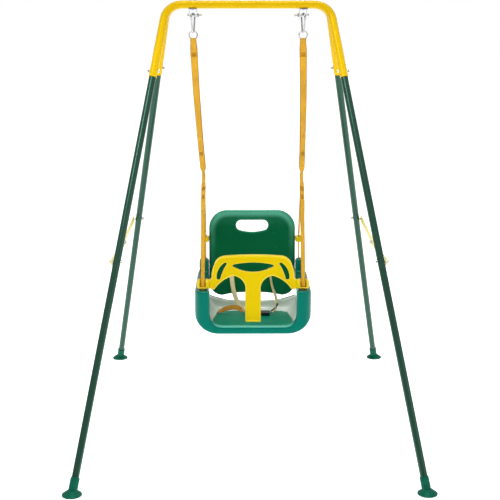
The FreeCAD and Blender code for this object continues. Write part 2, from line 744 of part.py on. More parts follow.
def seat_shell():
    """One moulding: a shallow pan with a front lip, thick side walls, a low rear wall and two posts."""
    front, back = size("seat_front"), size("seat_back")
    outside = seat_block("seat_outside", seat_body_profile(), seat_plan(0, front, back, 28),
                         front, back)
    posts = [post(letter, side) for letter, side in SIDES]
    body = join("seat_body", outside, *posts)
    inner = tub_profile(128, size("seat_floor"), 34, 600)
    pan = seat_block("seat_pan", inner, seat_plan(27, front + 20, back - 22, 22), front + 20, back - 22)
    mouth_sketch = outline("seat_mouth_view", FRONT_VIEW, Vector(0, front - 10, 0),
                           tub_profile(121, size("seat_lip"), 33, 600))
    mouth = extrude("seat_mouth", mouth_sketch, Y_AXIS, 60)
    gap = size("back_half_width") + size("clearance")
    lip = ((-gap, 335), ((0, 312), (gap, 335)), ((gap, 600),), ((-gap, 600),), ((-gap, 335),))
    rear_sketch = outline("seat_rear_view", FRONT_VIEW, Vector(0, back - 40, 0), lip)
    rear = extrude("seat_rear_opening", rear_sketch, Y_AXIS, 60)
    hollows = [wall_hollow(letter, side) for letter, side in SIDES]
    slots = [slot for letter, side in SIDES for slot in strap_slots(letter, side)]
    pins = [pin_hole(letter, side, "seat") for letter, side in SIDES]
    hang("seat_shell", cut("seat_shell", body, pan, mouth, rear, *hollows, *slots, *pins))


def pin_hole(letter, side, what):
    start = Vector(side * 100, size("back_pin_depth"), 425)
    return rod(f"pin_hole_{what}_{letter}", start, X_AXIS * side, 36, "6 + 2 * dims.pin_fit")


def backrest():
    """A reclined panel with round corners, a rounded border and a hand slot."""
    half, top, low = size("back_half_width"), size("back_top"), 346
    upper, lower = 54, 40
    up, down = upper * (1 - math.sqrt(0.5)), lower * (1 - math.sqrt(0.5))
    height = top - low
    panel = (
        (0, 0),
        ((70, -4), (half - lower, -8),),
        ((half - down, -8 + down), (half, -8 + lower)),
        ((half, height - upper),),
        ((half - up, height - up), (half - upper, height)),
        ((-half + upper, height),),
        ((-half + up, height - up), (-half, height - upper)),
        ((-half, -8 + lower),),
        ((-half + down, -8 + down), (-half + lower, -8)),
        ((-70, -4), (0, 0)),
    )
    slot_low, slot_high, slot_half = 529 - low, 564 - low, 48
    slot = (
        (-slot_half + 15, slot_high),
        ((-slot_half, slot_high - 14.5), (-slot_half + 13, slot_low + 4.5)),
        ((0, slot_low), (slot_half - 13, slot_low + 4.5)),
        ((slot_half, slot_high - 14.5), (slot_half - 15, slot_high)),
        ((-slot_half + 15, slot_high),),
    )
    lean = Rotation(X_AXIS, -size("back_lean"))
    origin = Vector(0, 112, low)
    sketch = outline("back_outline", lean * FRONT_VIEW, origin, panel, slot)
    normal = lean.multVec(Y_AXIS)
    plate = extrude("back_plate", sketch, normal, "dims.back_thickness")
    smooth = fillet("back_smooth", plate, 5.5, lambda edge: True)
    slots = []
    for letter, side in SIDES:
        corner = origin + lean.multVec(Vector(side * 66 - 16, -5, 70))
        slots.append(block(f"harness_slot_{letter}", corner, 32, 30, 6, lean))
        slots.append(pin_hole(letter, side, "back"))
    hang("backrest", cut("backrest", smooth, *slots))


def backrest_pins():
    pins = []
    for letter, side in SIDES:
        start = Vector(side * 101, size("back_pin_depth"), 425)
        pins.append(rod(f"backrest_pin_{letter}", start, X_AXIS * side, 34, 6))
    hang("backrest_pins", group("backrest_pins", *pins))


def anchor_pins():
    """Steel pins inside the arms and posts that the straps' lower ends are sewn round."""
    pins = []
    for letter, side in SIDES:
        x = side * size("strap_place") - 10
        pins.append(rod(f"arm_pin_{letter}", Vector(x, size("arm_place"), 389.4), X_AXIS, 20, 5))
    hang("strap_anchor_pins", group("strap_anchor_pins", *pins))


def strap_knob(letter, side):
    """A yellow loop on the backrest's edge that the rear strap runs through."""
    name = f"strap_knob_{letter}"
    inner = size("back_half_width") + 0.1
    corner = Vector(inner if side > 0 else -inner - 21, size("knob_depth") - 16,
                    size("knob_height") - 8)
    body = fillet(name + "_round", block(name + "_block", corner, 21, 32, 16), 3.5, lambda edge: True)
    slot = block(name + "_slot", Vector(side * size("rear_strap_place") - 3, corner.y + 3,
                 corner.z - 1), 6, 26, 20)
    hang(name, cut(name, body, slot))


# ---------------------------------------------------------------- T bar

def t_bar_outline():
    """Right half of the T bar's front view, from the top middle to the stem's foot and back."""
    top, high, low = size("t_bar_top"), size("t_bar_sleeve_top"), size("t_bar_sleeve_low")
    foot = size("t_bar_stem_low")
    return (
        ((40, top - 0.9), (78, top - 3.2)),
        ((99, 500), (108, 484)),
        ((113.5, 468), (115.5, 452)),
        ((119, 443), (127, high)),
        ((152, high),),
        ((156, (high + low) / 2), (152, low)),
        ((118, low),),
        ((112, low - 3), (107, low - 1.5)),
        ((88, 436), (56, 453)),
        ((30, 440), (22, 408)),
        ((21.8, foot + 4.5),),
        ((20.8, foot + 1), (17.3, foot),),
    )


def both_halves(start, steps):
    """A closed loop from its right half: the left half is the same steps, mirrored and reversed."""
    points = [start]
    for step in steps:
        points.extend(step)
    left, place = [], len(points) - 1
    for step in reversed(steps):
        place -= len(step)
        through = [(-step[0][0], step[0][1])] if len(step) == 2 else []
        left.append((*through, (-points[place][0], points[place][1])))
    foot = (-points[-1][0], points[-1][1])
    return (start, *steps, (foot,), *left)


def t_bar():
    """A moulded T: a spreader plate with lightening holes, two strap sleeves and a stem."""
    thick = size("t_bar_plate")
    front = Vector(0, size("t_bar_plane") - thick / 2, 0)
    loop = both_halves((0.0, size("t_bar_top")), t_bar_outline())
    lens = ((-54, 484.5), ((0, 490.5), (54, 484.5)), ((57, 480.5), (53, 477)),
            ((0, 463), (-53, 477)), ((-57, 480.5), (-54, 484.5)))
    slot = ((73, 485), ((75.5, 490), (81, 488.5)), ((96.5, 470), (101.5, 447)),
            ((98, 441), (91, 443.5)), ((84.5, 464), (73, 485)))
    sides = [mirror_loop(slot, side) for _, side in SIDES]
    sketch = outline("t_bar_view", FRONT_VIEW, front, loop, lens, *sides)
    plate = extrude("t_bar_full", sketch, Y_AXIS, "dims.t_bar_plate")
    face = document.addObject("Part::Offset2D", "t_bar_face")
    face.Source = sketch
    face.setExpression("Value", "-dims.t_bar_border")
    face.Fill = False
    recess = extrude("t_bar_recess_front", face, Y_AXIS, "dims.t_bar_recess")
    sleeves, bores = [], []
    for letter, side in SIDES:
        corner = Vector(122 if side > 0 else -156, size("t_bar_plane") - 12,
                        size("t_bar_sleeve_low"))
        box = block(f"t_sleeve_block_{letter}", corner, 34, "dims.t_bar_sleeve_depth",
                    "dims.t_bar_sleeve_top - dims.t_bar_sleeve_low")
        sleeves.append(fillet(f"t_sleeve_{letter}", box, 6, lambda edge: True))
        lean = math.atan2(-size("arm_place"), size("junction_height") - 421)
        turn = Rotation(X_AXIS, -math.degrees(lean))
        middle = Vector(side * size("strap_place"), size("arm_place"), 421)
        start = middle + turn.multVec(Vector(-9, -3.5, -40))
        bores.append(block(f"t_bore_{letter}", start, 18, 7, 90, turn))
        window = Vector(middle.x - 8.5, corner.y - 2, size("t_bar_sleeve_low") + 4.5)
        bores.append(block(f"t_window_{letter}", window, 17, 21, 40))
    body = join("t_bar_solid", cut("t_bar_faced", plate, recess), *sleeves)
    hang("t_bar", cut("t_bar", body, *bores))


# ---------------------------------------------------------------- harness

def cord_tube(name, points, radius):
    """A round tube along straight runs joined by tangent arcs."""
    corners = [Vector(*point) for point in points]
    edges, here = [], corners[0]
    radii = []
    for before, corner, after in zip(corners, corners[1:], corners[2:]):
        first, second = corner - before, after - corner
        turn = first.getAngle(second)
        reach = 0.45 * min(first.Length, second.Length)
        radii.append(reach / math.tan(turn / 2))
        start = corner - first.normalize() * reach
        end = corner + second.normalize() * reach
        middle = (start + end) * 0.5
        away = (middle - corner).normalize()
        centre = corner + away * (radii[-1] / math.cos(turn / 2))
        edges.append(Part.LineSegment(here, start).toShape())
        edges.append(Part.Arc(start, centre - away * radii[-1], end).toShape())
        here = end
    edges.append(Part.LineSegment(here, corners[-1]).toShape())
    path = Part.Wire(edges)
    section = Part.Wire(Part.Circle(corners[0], corners[1] - corners[0], radius).toShape())
    tube = path.makePipeShell([section], True, True)
    expected = math.pi * radius ** 2 * path.Length
    print(f"{name}: length {path.Length:.1f} smallest arc {min(radii):.1f} "
          f"volume {tube.Volume:.0f} of {expected:.0f}")
    thing = document.addObject("Part::Feature", name)
    thing.Shape = tube
    thing.Placement = Placement()
    keep(name, thing)


HARNESS_ROUTES = {
    "shoulder_strap_l": [(-50, 110, 412), (-48, 98, 388), (-44, 90, 360), (-36, 82, 333),
                         (-24, 70, 313), (-10, 56, 303)],
    "shoulder_strap_r": [(66, 110, 412), (68, 98, 388), (74, 92, 362), (84, 84, 338),
                         (86, 74, 318), (79, 61, 305), (67.5, 52, 303)],
    "lap_strap_l": [(-90, 60, 300.5), (-80, 57, 304.5), (-68, 54, 311), (-52, 51, 316),
                    (-36, 50, 317.5), (-23, 49, 311), (-13, 47.5, 302.5)],
}


def buckle():
    """The harness buckle lying on the pan, and its press button."""
    floor = size("seat_floor")
    body = fillet("buckle_round", block("buckle_block", Vector(-8, 36, floor + 0.1), 72, 26,
                  "dims.buckle_height"), 3, lambda edge: True)
    pocket = block("buckle_pocket", Vector(20, 42, floor + 4), 16, 14, 20)
    keep("buckle_body", cut("buckle_body", body, pocket))
    gap = size("clearance")
    button = block("button_block", Vector(20 + gap, 42 + gap, floor + 4 + size("button_gap")),
                   16 - 2 * gap, 14 - 2 * gap, 6)
    keep("buckle_button", fillet("buckle_button", button, 1.2,
                                 lambda edge: edge.BoundBox.ZMin > floor + 8))


# ---------------------------------------------------------------- braces

def brace_pivots():
    """Front, middle and rear pivots of a brace, seen from the side."""
    height = size("brace_height")
    front = leg_at_height(1, FRONT, height).y
    return (front, height), (0.0, height - size("brace_sag")), (-front, height)


def brace_link(letter, side, end):
    """A flat bar with round ends from a leg pivot to the middle pivot."""
    name = f"brace_{end_name(end)}_link_{letter}"
    front, middle, rear = brace_pivots()
    first, second = (front, middle) if end == FRONT else (middle, rear)
    plane = size("brace_front_plane") if end == FRONT else size("brace_rear_plane")
    thick = size("brace_thickness")
    x = plane if side > 0 else -plane - thick
    radius = size("brace_width") / 2
    along = Vector(second[0] - first[0], second[1] - first[1], 0)
    length = along.Length
    turn = SIDE_VIEW * Rotation(Z_AXIS, math.degrees(math.atan2(along.y, along.x)))
    loop = ((0, radius), ((-radius, 0), (0, -radius)), ((length, -radius),),
            ((length + radius, 0), (length, radius)), ((0, radius),))
    sketch = outline(name + "_view", turn, Vector(x, *first), loop)
    plate = extrude(name + "_plate", sketch, X_AXIS, "dims.brace_thickness")
    holes = [rod(f"{name}_hole_{number}", Vector(x - 1, *point), X_AXIS, thick + 2,
                 "dims.brace_bolt_size + 2 * dims.pin_fit")
             for number, point in enumerate((first, second))]
    keep(name, cut(name, plate, *holes))


def leg_brace_bolt(letter, side, end):
    """A bolt through a leg. On the rear it carries the link; on the front it stops beside it."""
    gap = size("clearance")
    point = leg_at_height(side, end, size("brace_height"))
    out = X_AXIS * side
    half = size("upper_leg_outer") / 2 + size("head_stand_off")
    inner = Vector(side * (abs(point.x) - half), point.y, point.z)
    if end == FRONT:
        reach = size("brace_front_plane") - gap - abs(inner.x)
        return bolt(f"front_brace_bolt_{letter}", inner, out, reach, "dims.brace_bolt_size", 11, 3.5)
    outer_face = size("brace_rear_plane") + size("brace_thickness") + gap
    head = Vector(side * outer_face, point.y, point.z)
    length = outer_face - abs(inner.x) + 6
    pin = bolt(f"rear_brace_bolt_{letter}", head, -out, length, "dims.brace_bolt_size", 12, 3.5)
    spacer_start = abs(point.x) + half
    spacer = cut(f"rear_spacer_{letter}",
                 rod(f"rear_spacer_rod_{letter}", Vector(side * spacer_start, point.y, point.z), out,
                     size("brace_rear_plane") - gap - spacer_start, 10),
                 rod(f"rear_spacer_bore_{letter}", Vector(side * (spacer_start - 1), point.y, point.z),
                     out, 20, "dims.brace_bolt_size"))
    return join(f"rear_brace_fixing_{letter}", pin, spacer)


def brace_fasteners():
    for end in (FRONT, REAR):
        fixings = [leg_brace_bolt(letter, side, end) for letter, side in SIDES]
        name = f"{end_name(end)}_brace_bolts"
        keep(name, group(name, *fixings))
    rear_nuts = []
    _, middle, _ = brace_pivots()
    for letter, side in SIDES:
        out = X_AXIS * side
        point = leg_at_height(side, REAR, size("brace_height"))
        half = size("upper_leg_outer") / 2 + size("head_stand_off")
        start = Vector(side * (abs(point.x) - half), point.y, point.z)
        rear_nuts.append(nut(f"rear_brace_nut_{letter}", start, -out, 5, 10, "dims.brace_bolt_size"))
        stud_start = Vector(side * size("brace_front_plane"), brace_pivots()[0][0],
                            size("brace_height"))
        stud = rod(f"link_stud_{letter}", stud_start, out, 8, "dims.brace_bolt_size")
        cap = hexagon(f"link_nut_{letter}", stud_start + out * size("brace_thickness"), out, 4, 10)
        keep(f"brace_front_nut_{letter}", join(f"brace_front_nut_{letter}", stud, cap))
        outer = size("brace_rear_plane") + size("brace_thickness")
        head = Vector(side * outer, *middle)
        keep(f"brace_middle_bolt_{letter}",
             bolt(f"brace_middle_bolt_{letter}", head, -out, 14, "dims.brace_bolt_size", 11, 3.5))
        inner = Vector(side * (size("brace_front_plane") - size("clearance")), *middle)
        keep(f"brace_middle_nut_{letter}",
             nut(f"brace_middle_nut_{letter}", inner, -out, 5, 10, "dims.brace_bolt_size"))
    keep("rear_brace_nuts", group("rear_brace_nuts", *rear_nuts))


# ---------------------------------------------------------------- the whole set

def build():
    for end in (FRONT, REAR):
        top_tube(end)
        socket_fasteners(end)
        for letter, side in SIDES:
            upper_leg(letter, side, end)
            lower_leg(letter, side, end)
            foot(letter, side, end)
            brace_link(letter, side, end)
    brace_fasteners()
    hanger_fasteners()
    for letter, side in SIDES:
        hanger_bracket(letter, side)
        carabiner(letter, side)
        carabiner_gate(letter, side)
        hanger_ring(letter, side)
        hanging_webbing(letter, side)
        front_strap(letter, side)
        rear_strap(letter, side)
        strap_knob(letter, side)
    seat_shell()
    backrest()
    backrest_pins()
    anchor_pins()
    t_bar()
    buckle()
    for name, route in HARNESS_ROUTES.items():
        cord_tube(name, route, size("harness_radius"))


def check_and_export():
    document.recompute()
    for thing in document.Objects:
        if "Invalid" in thing.State or "Error" in thing.State:
            raise RuntimeError(f"{thing.Name} failed: {thing.State}")
    os.makedirs("parts", exist_ok=True)
    for thing in nodes:
        if thing.Shape.isNull() or not thing.Shape.isValid():
            raise RuntimeError(f"{thing.Label} has no valid shape")
    for thing in nodes:
        thing.Shape.exportStep(f"parts/{thing.Label}.step")
    print(len(nodes), "sub-parts written")


fill_sheet()
build()
check_and_export()
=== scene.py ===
"""Looks of the folding toddler swing: moulded seat, webbing, harness and materials round the CAD frame."""
import json
import math
import bpy
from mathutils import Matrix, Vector


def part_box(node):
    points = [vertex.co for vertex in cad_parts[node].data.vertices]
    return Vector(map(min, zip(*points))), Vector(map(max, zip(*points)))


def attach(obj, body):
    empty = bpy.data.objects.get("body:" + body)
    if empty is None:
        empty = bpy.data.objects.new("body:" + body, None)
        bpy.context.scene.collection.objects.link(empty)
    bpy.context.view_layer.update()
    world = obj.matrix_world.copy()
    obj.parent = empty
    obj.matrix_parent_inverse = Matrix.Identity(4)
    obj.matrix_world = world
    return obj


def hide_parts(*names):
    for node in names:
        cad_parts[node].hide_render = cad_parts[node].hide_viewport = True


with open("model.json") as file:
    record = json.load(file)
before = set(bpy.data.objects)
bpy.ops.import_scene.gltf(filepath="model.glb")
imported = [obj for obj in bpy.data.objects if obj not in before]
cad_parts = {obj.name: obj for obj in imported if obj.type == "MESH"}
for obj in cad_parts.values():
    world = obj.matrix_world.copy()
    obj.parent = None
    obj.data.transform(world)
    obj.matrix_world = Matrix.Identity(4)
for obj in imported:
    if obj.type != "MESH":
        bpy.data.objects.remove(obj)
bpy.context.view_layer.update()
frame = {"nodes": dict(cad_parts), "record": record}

MM = 0.001
SIDES = (("l", -1), ("r", 1))
SEAT_MIDDLE = sum(corner.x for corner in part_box("seat_shell")) / 2
BACK_LOW, BACK_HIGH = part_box("backrest")
BLACK, WHITE = (0, 0, 0), (1, 1, 1)


def add_object(name, data):
    thing = bpy.data.objects.new(name, data)
    bpy.context.scene.collection.objects.link(thing)
    return thing


def clamp(value):
    return max(0.0, min(1.0, value))


def rise(value, start, length):
    """0 up to the start, then a straight rise to 1 over a length."""
    return clamp((value - start) / length)


# ---------------------------------------------------------------- camera, light and floor

CAMERA_PLACE = Vector((-0.0213, -3.0965, 1.1539))
CAMERA_DOWN = math.radians(11.92)
CAMERA_TURN = math.radians(-0.487)
CAMERA_LENS = 79.14
SENSOR_WIDTH = 36
VIEW_END = 50

LIGHTS = (      # name, place, target, width in metres, power in watts
    ("key", (-1.6, -2.6, 3.6), (0, 0, 0.6), 1.4, 42),
    ("fill", (3.2, -2.2, 1.6), (0, 0, 0.6), 1.8, 11),
    ("top", (0.2, -0.7, 4.6), (0, 0, 0.5), 1.5, 75),
    ("back", (0.4, 3.0, 2.8), (0, 0, 0.8), 1.4, 16),
)
LIGHT_ASPECT = 0.6       # a light's height over its width

# The room's brightness grows from front to back and from the horizon up. Each pair of ranges is the
# part of the direction over which it grows, then the strength there.
BACKDROP = (-0.25, 0.6), (0.05, 0.55)
OVERHEAD = (0.25, 0.9), (0.0, 0.6)
FLOOR_REACH = 30
FLOOR_GLOW = 0.8


def make_camera():
    data = bpy.data.cameras.new("camera")
    data.lens = CAMERA_LENS
    data.sensor_width = SENSOR_WIDTH
    data.clip_end = VIEW_END
    camera = add_object("camera", data)
    camera.location = CAMERA_PLACE
    camera.rotation_euler = (math.pi / 2 - CAMERA_DOWN, 0, CAMERA_TURN)
    bpy.context.scene.camera = camera


def area_light(name, place, target, width, power):
    data = bpy.data.lights.new(name, "AREA")
    data.shape = "RECTANGLE"
    data.size = width
    data.size_y = width * LIGHT_ASPECT
    data.energy = power
    light = add_object(name, data)
    light.location = place
    light.rotation_euler = (Vector(target) - Vector(place)).to_track_quat("-Z", "Y").to_euler()


def make_room():
    """A bright room for the reflections, and plain white where the view goes past the object."""
    world = bpy.data.worlds.new("studio")
    world.use_nodes = True
    tree = world.node_tree
    background = tree.nodes["Background"]
    background.inputs["Color"].default_value = (*WHITE, 1)
    place = tree.nodes.new("ShaderNodeTexCoord")
    split = tree.nodes.new("ShaderNodeSeparateXYZ")
    link(tree, place, "Generated", split, "Vector")
    backdrop = map_range(tree, (split, "Y"), *BACKDROP)
    overhead = map_range(tree, (split, "Z"), *OVERHEAD)
    around = math_node(tree, "MAXIMUM", (backdrop, "Result"), (overhead, "Result"))
    rays = tree.nodes.new("ShaderNodeLightPath")
    strength = tree.nodes.new("ShaderNodeMix")
    strength.inputs["B"].default_value = 1.0
    link(tree, rays, "Is Camera Ray", strength, "Factor")
    link(tree, around, "Value", strength, "A")
    link(tree, strength, "Result", background, "Strength")
    bpy.context.scene.world = world
    bpy.context.scene.view_settings.view_transform = "Standard"


def make_floor():
    mesh = bpy.data.meshes.new("floor")
    corners = [(x * FLOOR_REACH, y * FLOOR_REACH, 0) for x, y in ((-1, -1), (1, -1), (1, 1), (-1, 1))]
    mesh.from_pydata(corners, [], [(0, 1, 2, 3)])
    floor = add_object("floor", mesh)
    material, shader, _ = new_material("floor_white", (0.95, 0.95, 0.95), 0.9)
    shader.inputs["Emission Color"].default_value = (*WHITE, 1)
    shader.inputs["Emission Strength"].default_value = FLOOR_GLOW
    mesh.materials.append(material)


# ---------------------------------------------------------------- shader nodes

def new_material(name, colour, roughness, metallic=0.0):
    material = bpy.data.materials.new(name)
    material.use_nodes = True
    tree = material.node_tree
    shader = tree.nodes["Principled BSDF"]
    shader.inputs["Base Color"].default_value = (*colour, 1)
    shader.inputs["Roughness"].default_value = roughness
    shader.inputs["Metallic"].default_value = metallic
    return material, shader, tree


def link(tree, source, output, target, socket):
    tree.links.new(source.outputs[output], target.inputs[socket])


def feed(tree, source, target, socket):
    """Fill a socket from a (node, output) pair, or with a colour or a number."""
    if not isinstance(source, tuple):
        target.inputs[socket].default_value = source
    elif isinstance(source[0], bpy.types.Node):
        link(tree, *source, target, socket)
    else:
        target.inputs[socket].default_value = (*source, 1)


def map_range(tree, source, old, new):
    """A value of a (node, output) pair, moved from its old (low, high) range to a new one."""
    node = tree.nodes.new("ShaderNodeMapRange")
    for socket, value in zip(("From Min", "From Max", "To Min", "To Max"), (*old, *new)):
        node.inputs[socket].default_value = value
    link(tree, *source, node, "Value")
    return node


def math_node(tree, operation, *operands):
    node = tree.nodes.new("ShaderNodeMath")
    node.operation = operation
    for socket, operand in enumerate(operands):
        feed(tree, operand, node, socket)
    return node


def mix_colours(tree, factor, first, second, blend="MIX"):
    node = tree.nodes.new("ShaderNodeMix")
    node.data_type = "RGBA"
    node.blend_type = blend
    for socket, source in (("Factor", factor), ("A", first), ("B", second)):
        feed(tree, source, node, socket)
    return node


def noise(tree, scale, detail, stretch=(1, 1, 1)):
    """A noise texture at a scale in cycles per metre."""
    place = tree.nodes.new("ShaderNodeTexCoord")
    mapping = tree.nodes.new("ShaderNodeMapping")
    mapping.inputs["Scale"].default_value = stretch
    texture = tree.nodes.new("ShaderNodeTexNoise")
    texture.inputs["Scale"].default_value = scale
    texture.inputs["Detail"].default_value = detail
    link(tree, place, "Object", mapping, "Vector")
    link(tree, mapping, "Vector", texture, "Vector")
    return texture


def ramp(tree, source, output, stops):
    """Colours at positions along a value."""
    node = tree.nodes.new("ShaderNodeValToRGB")
    elements = node.color_ramp.elements
    while len(elements) < len(stops):
        elements.new(0.5)
    for element, (position, colour) in zip(elements, stops):
        element.position = position
        element.color = (*colour, 1)
    link(tree, source, output, node, "Fac")
    return node


def bump(tree, shader, texture, output, strength, distance):
    node = tree.nodes.new("ShaderNodeBump")
    node.inputs["Strength"].default_value = strength
    node.inputs["Distance"].default_value = distance
    link(tree, texture, output, node, "Height")
    link(tree, node, "Normal", shader, "Normal")


def tone(colour, factor):
    return tuple(min(1.0, channel * factor) for channel in colour)


def tint_gloss(shader, colour, level=0.5):
    """Reflections seen head on take the pigment's hue; at a glancing angle they stay white."""
    most = max(colour)
    shader.inputs["Specular Tint"].default_value = (*(max(0.02, channel / most) for channel in colour), 1)
    shader.inputs["Specular IOR Level"].default_value = level


def clear_coat(shader, weight, roughness):
    shader.inputs["Coat Weight"].default_value = weight
    shader.inputs["Coat Roughness"].default_value = roughness


def vary_roughness(tree, shader, texture, low, high):
    spread = map_range(tree, (texture, "Fac"), (0, 1), (low, high))
    link(tree, spread, "Result", shader, "Roughness")


def pale_edges(tree, base, start, full, colour):
    """A ramp's colour that turns paler on convex edges, between two degrees of pointiness."""
    geometry = tree.nodes.new("ShaderNodeNewGeometry")
    rim = ramp(tree, geometry, "Pointiness", [(start, BLACK), (full, WHITE)])
    return mix_colours(tree, (rim, "Color"), (base, "Color"), colour)


# ---------------------------------------------------------------- materials

PICK_PITCH = 0.0011      # metres between weft threads along the webbing
WARP_RIBS = 9            # ribs across the webbing


def powder_coat(name, colour, roughness=0.24, coat=0.08):
    """Gloss powder coat: faint orange peel, slow colour variation, paler convex edges."""
    material, shader, tree = new_material(name, colour, roughness)
    tint_gloss(shader, colour)
    clouds = noise(tree, scale=9, detail=4)
    shade = ramp(tree, clouds, "Fac", [(0.3, tone(colour, 0.93)), (0.7, tone(colour, 1.05))])
    # Convex edges turn paler than the rest of the coat.
    marked = pale_edges(tree, shade, 0.52, 0.6, tone(colour, 1.25))
    link(tree, marked, "Result", shader, "Base Color")
    vary_roughness(tree, shader, noise(tree, scale=40, detail=2), roughness - 0.05, roughness + 0.09)
    clear_coat(shader, coat, roughness=0.12)
    bump(tree, shader, noise(tree, scale=700, detail=2), "Fac", strength=0.12, distance=0.0004)
    return material


def moulded_plastic(name, colour, roughness=0.28, grain=0.1, edge=None, painted_highlight=None, gloss=0.6):
    """Moulded polyethylene: waxy gloss, soft flow marks, a highlight painted on convex edges and a fine
    pebble grain.

    edge is the colour of the highlight painted on its convex edges; the colour after it is that of the
    highlight painted into the mesh's vertex colours.
    """
    material, shader, tree = new_material(name, colour, roughness)
    tint_gloss(shader, colour, gloss)
    flow = noise(tree, scale=6, detail=3, stretch=(1, 1, 0.4))
    shade = ramp(tree, flow, "Fac", [(0.3, tone(colour, 0.95)), (0.7, tone(colour, 1.06))])
    # Convex edges are painted paler: a painted highlight on the rounded edges.
    mix = pale_edges(tree, shade, 0.51, 0.56, edge or tone(colour, 1.4))
    # A painted highlight, stored per vertex in the mesh, lightens the colour further.
    if painted_highlight:
        highlight_share = tree.nodes.new("ShaderNodeVertexColor")
        highlight_share.layer_name = "painted_highlight"
        mix = mix_colours(tree, (highlight_share, "Color"), (mix, "Result"), painted_highlight)
    link(tree, mix, "Result", shader, "Base Color")
    vary_roughness(tree, shader, noise(tree, scale=55, detail=6), roughness - 0.02, roughness + 0.03)
    clear_coat(shader, 0.04, roughness=0.15)
    bump(tree, shader, noise(tree, scale=420, detail=3), "Fac", strength=grain, distance=0.0005)
    return material


def zinc_plate():
    """Bright zinc: spangled, and finely brushed."""
    material, shader, tree = new_material("zinc_plate", (0.62, 0.63, 0.65), 0.3, 1.0)
    spangle = noise(tree, scale=160, detail=4)
    shade = ramp(tree, spangle, "Fac", [(0.3, (0.42, 0.43, 0.45)), (0.7, (0.78, 0.79, 0.8))])
    link(tree, shade, "Color", shader, "Base Color")
    vary_roughness(tree, shader, spangle, 0.2, 0.45)
    brush = noise(tree, scale=300, detail=2, stretch=(1, 1, 12))
    bump(tree, shader, brush, "Fac", strength=0.1, distance=0.0003)
    return material


def foot_rubber():
    """Dull green rubber with scuffs."""
    colour = (0.006, 0.10, 0.06)
    material, shader, tree = new_material("foot_rubber", colour, 0.5)
    tint_gloss(shader, colour, 0.3)
    marks = noise(tree, scale=60, detail=5)
    shade = ramp(tree, marks, "Fac", [(0.3, tone(colour, 0.8)), (0.75, tone(colour, 1.35))])
    link(tree, shade, "Color", shader, "Base Color")
    bump(tree, shader, noise(tree, scale=900, detail=2), "Fac", strength=0.25, distance=0.0003)
    return material


def woven(name, colour, edge, clean=False):
    """Woven webbing: picks along its length, warp ribs across, selvedges of another colour.

    The UVs are a share of the width across, and metres along.
    """
    material, shader, tree = new_material(name, colour, 0.72)
    place = tree.nodes.new("ShaderNodeTexCoord")
    split = tree.nodes.new("ShaderNodeSeparateXYZ")
    link(tree, place, "UV", split, "Vector")
    picks = wave(tree, (split, "Y"), 1 / PICK_PITCH)
    warp = wave(tree, (split, "X"), WARP_RIBS)
    weave = math_node(tree, "MULTIPLY", (picks, "Value"), (warp, "Value"))
    shade = ramp(tree, weave, "Value", [(0.0, tone(colour, 0.78)), (0.55, colour), (1.0, tone(colour, 1.16))])
    middle = math_node(tree, "SUBTRACT", (split, "X"), 0.5)
    off = math_node(tree, "ABSOLUTE", (middle, "Value"))
    border = ramp(tree, off, "Value", [(0.36, BLACK), (0.47, WHITE)])
    mix = mix_colours(tree, (border, "Color"), (shade, "Color"), edge)
    marked = (0.97, 0.96, 0.94) if clean else (0.86, 0.84, 0.8)
    dirt = ramp(tree, noise(tree, scale=14, detail=3), "Fac", [(0.3, marked), (0.65, WHITE)])
    soil = mix_colours(tree, 1, (mix, "Result"), (dirt, "Color"), "MULTIPLY")
    link(tree, soil, "Result", shader, "Base Color")
    shader.inputs["Sheen Weight"].default_value = 0.12
    shader.inputs["Sheen Roughness"].default_value = 0.4
    bump(tree, shader, weave, "Value", strength=0.55, distance=0.0005)
    return material


def wave(tree, source, frequency):
    """The sine of a value, at a number of cycles per unit."""
    scaled = math_node(tree, "MULTIPLY", source, frequency * math.pi * 2)
    return math_node(tree, "SINE", (scaled, "Value"))


def make_materials():
    return {
        "yellow_paint": powder_coat("yellow_powder_coat", (0.68, 0.43, 0.003)),
        "green_paint": powder_coat("green_powder_coat", (0.016, 0.046, 0.032), roughness=0.2, coat=0.12),
        "link_paint": powder_coat("pale_yellow_powder_coat", (0.92, 0.68, 0.14), roughness=0.35),
        "zinc": zinc_plate(),
        "foot_rubber": foot_rubber(),
        # The edge colours here, and the second colours of the seat and backrest, are painted highlights.
        "seat": moulded_plastic("seat_plastic", (0.001, 0.118, 0.086), roughness=0.26, grain=0.05,
                                edge=(0.03, 0.30, 0.21), painted_highlight=(0.12, 0.46, 0.36)),
        "back": moulded_plastic("backrest_plastic", (0.003, 0.115, 0.045), roughness=0.26, grain=0.05,
                                edge=(0.03, 0.30, 0.2), painted_highlight=(0.10, 0.42, 0.30)),
        # The floor's lighter green, on the same plastic as the seat, is painted top light.
        "pan": moulded_plastic("seat_pan", (0.001, 0.24, 0.14), roughness=0.45, grain=0.05, gloss=0.15),
        # The inner walls' pale grey-green is a painted reflection of the bright room at a glancing angle.
        "inner": moulded_plastic("seat_inner_painted_reflection", (0.72, 0.80, 0.75), roughness=0.16, grain=0.03),
        "t_bar": moulded_plastic("t_bar_plastic", (0.74, 0.535, 0.001), roughness=0.3, grain=0.04,
                                 edge=(0.93, 0.78, 0.12), gloss=0.4),
        "black": moulded_plastic("buckle_plastic", (0.012, 0.012, 0.013), roughness=0.4, grain=0.2),
        "orange_webbing": woven("orange_webbing", (0.98, 0.52, 0.015), (0.55, 0.23, 0.01)),
        "pale_webbing": woven("pale_webbing", (1.0, 0.96, 0.62), (1.0, 0.55, 0.03), clean=True),
        "lap_webbing": woven("lap_webbing", (0.80, 0.34, 0.02), (0.5, 0.18, 0.01)),
        "thread": new_material("sewing_thread", (0.72, 0.33, 0.03), 0.6)[0],
    }


# ---------------------------------------------------------------- moulded pieces

# Limits in metres. off is from the seat's middle to either side, depth is behind the middle plane, and
# height is above the ground. A facing is the least part of a surface's normal that points that way.
PAN_TOP = 0.303          # height of the tub's floor
TUB_HALF = 0.127         # off to the tub's inner side walls
TUB_REAR = 0.117         # depth of its inner rear wall

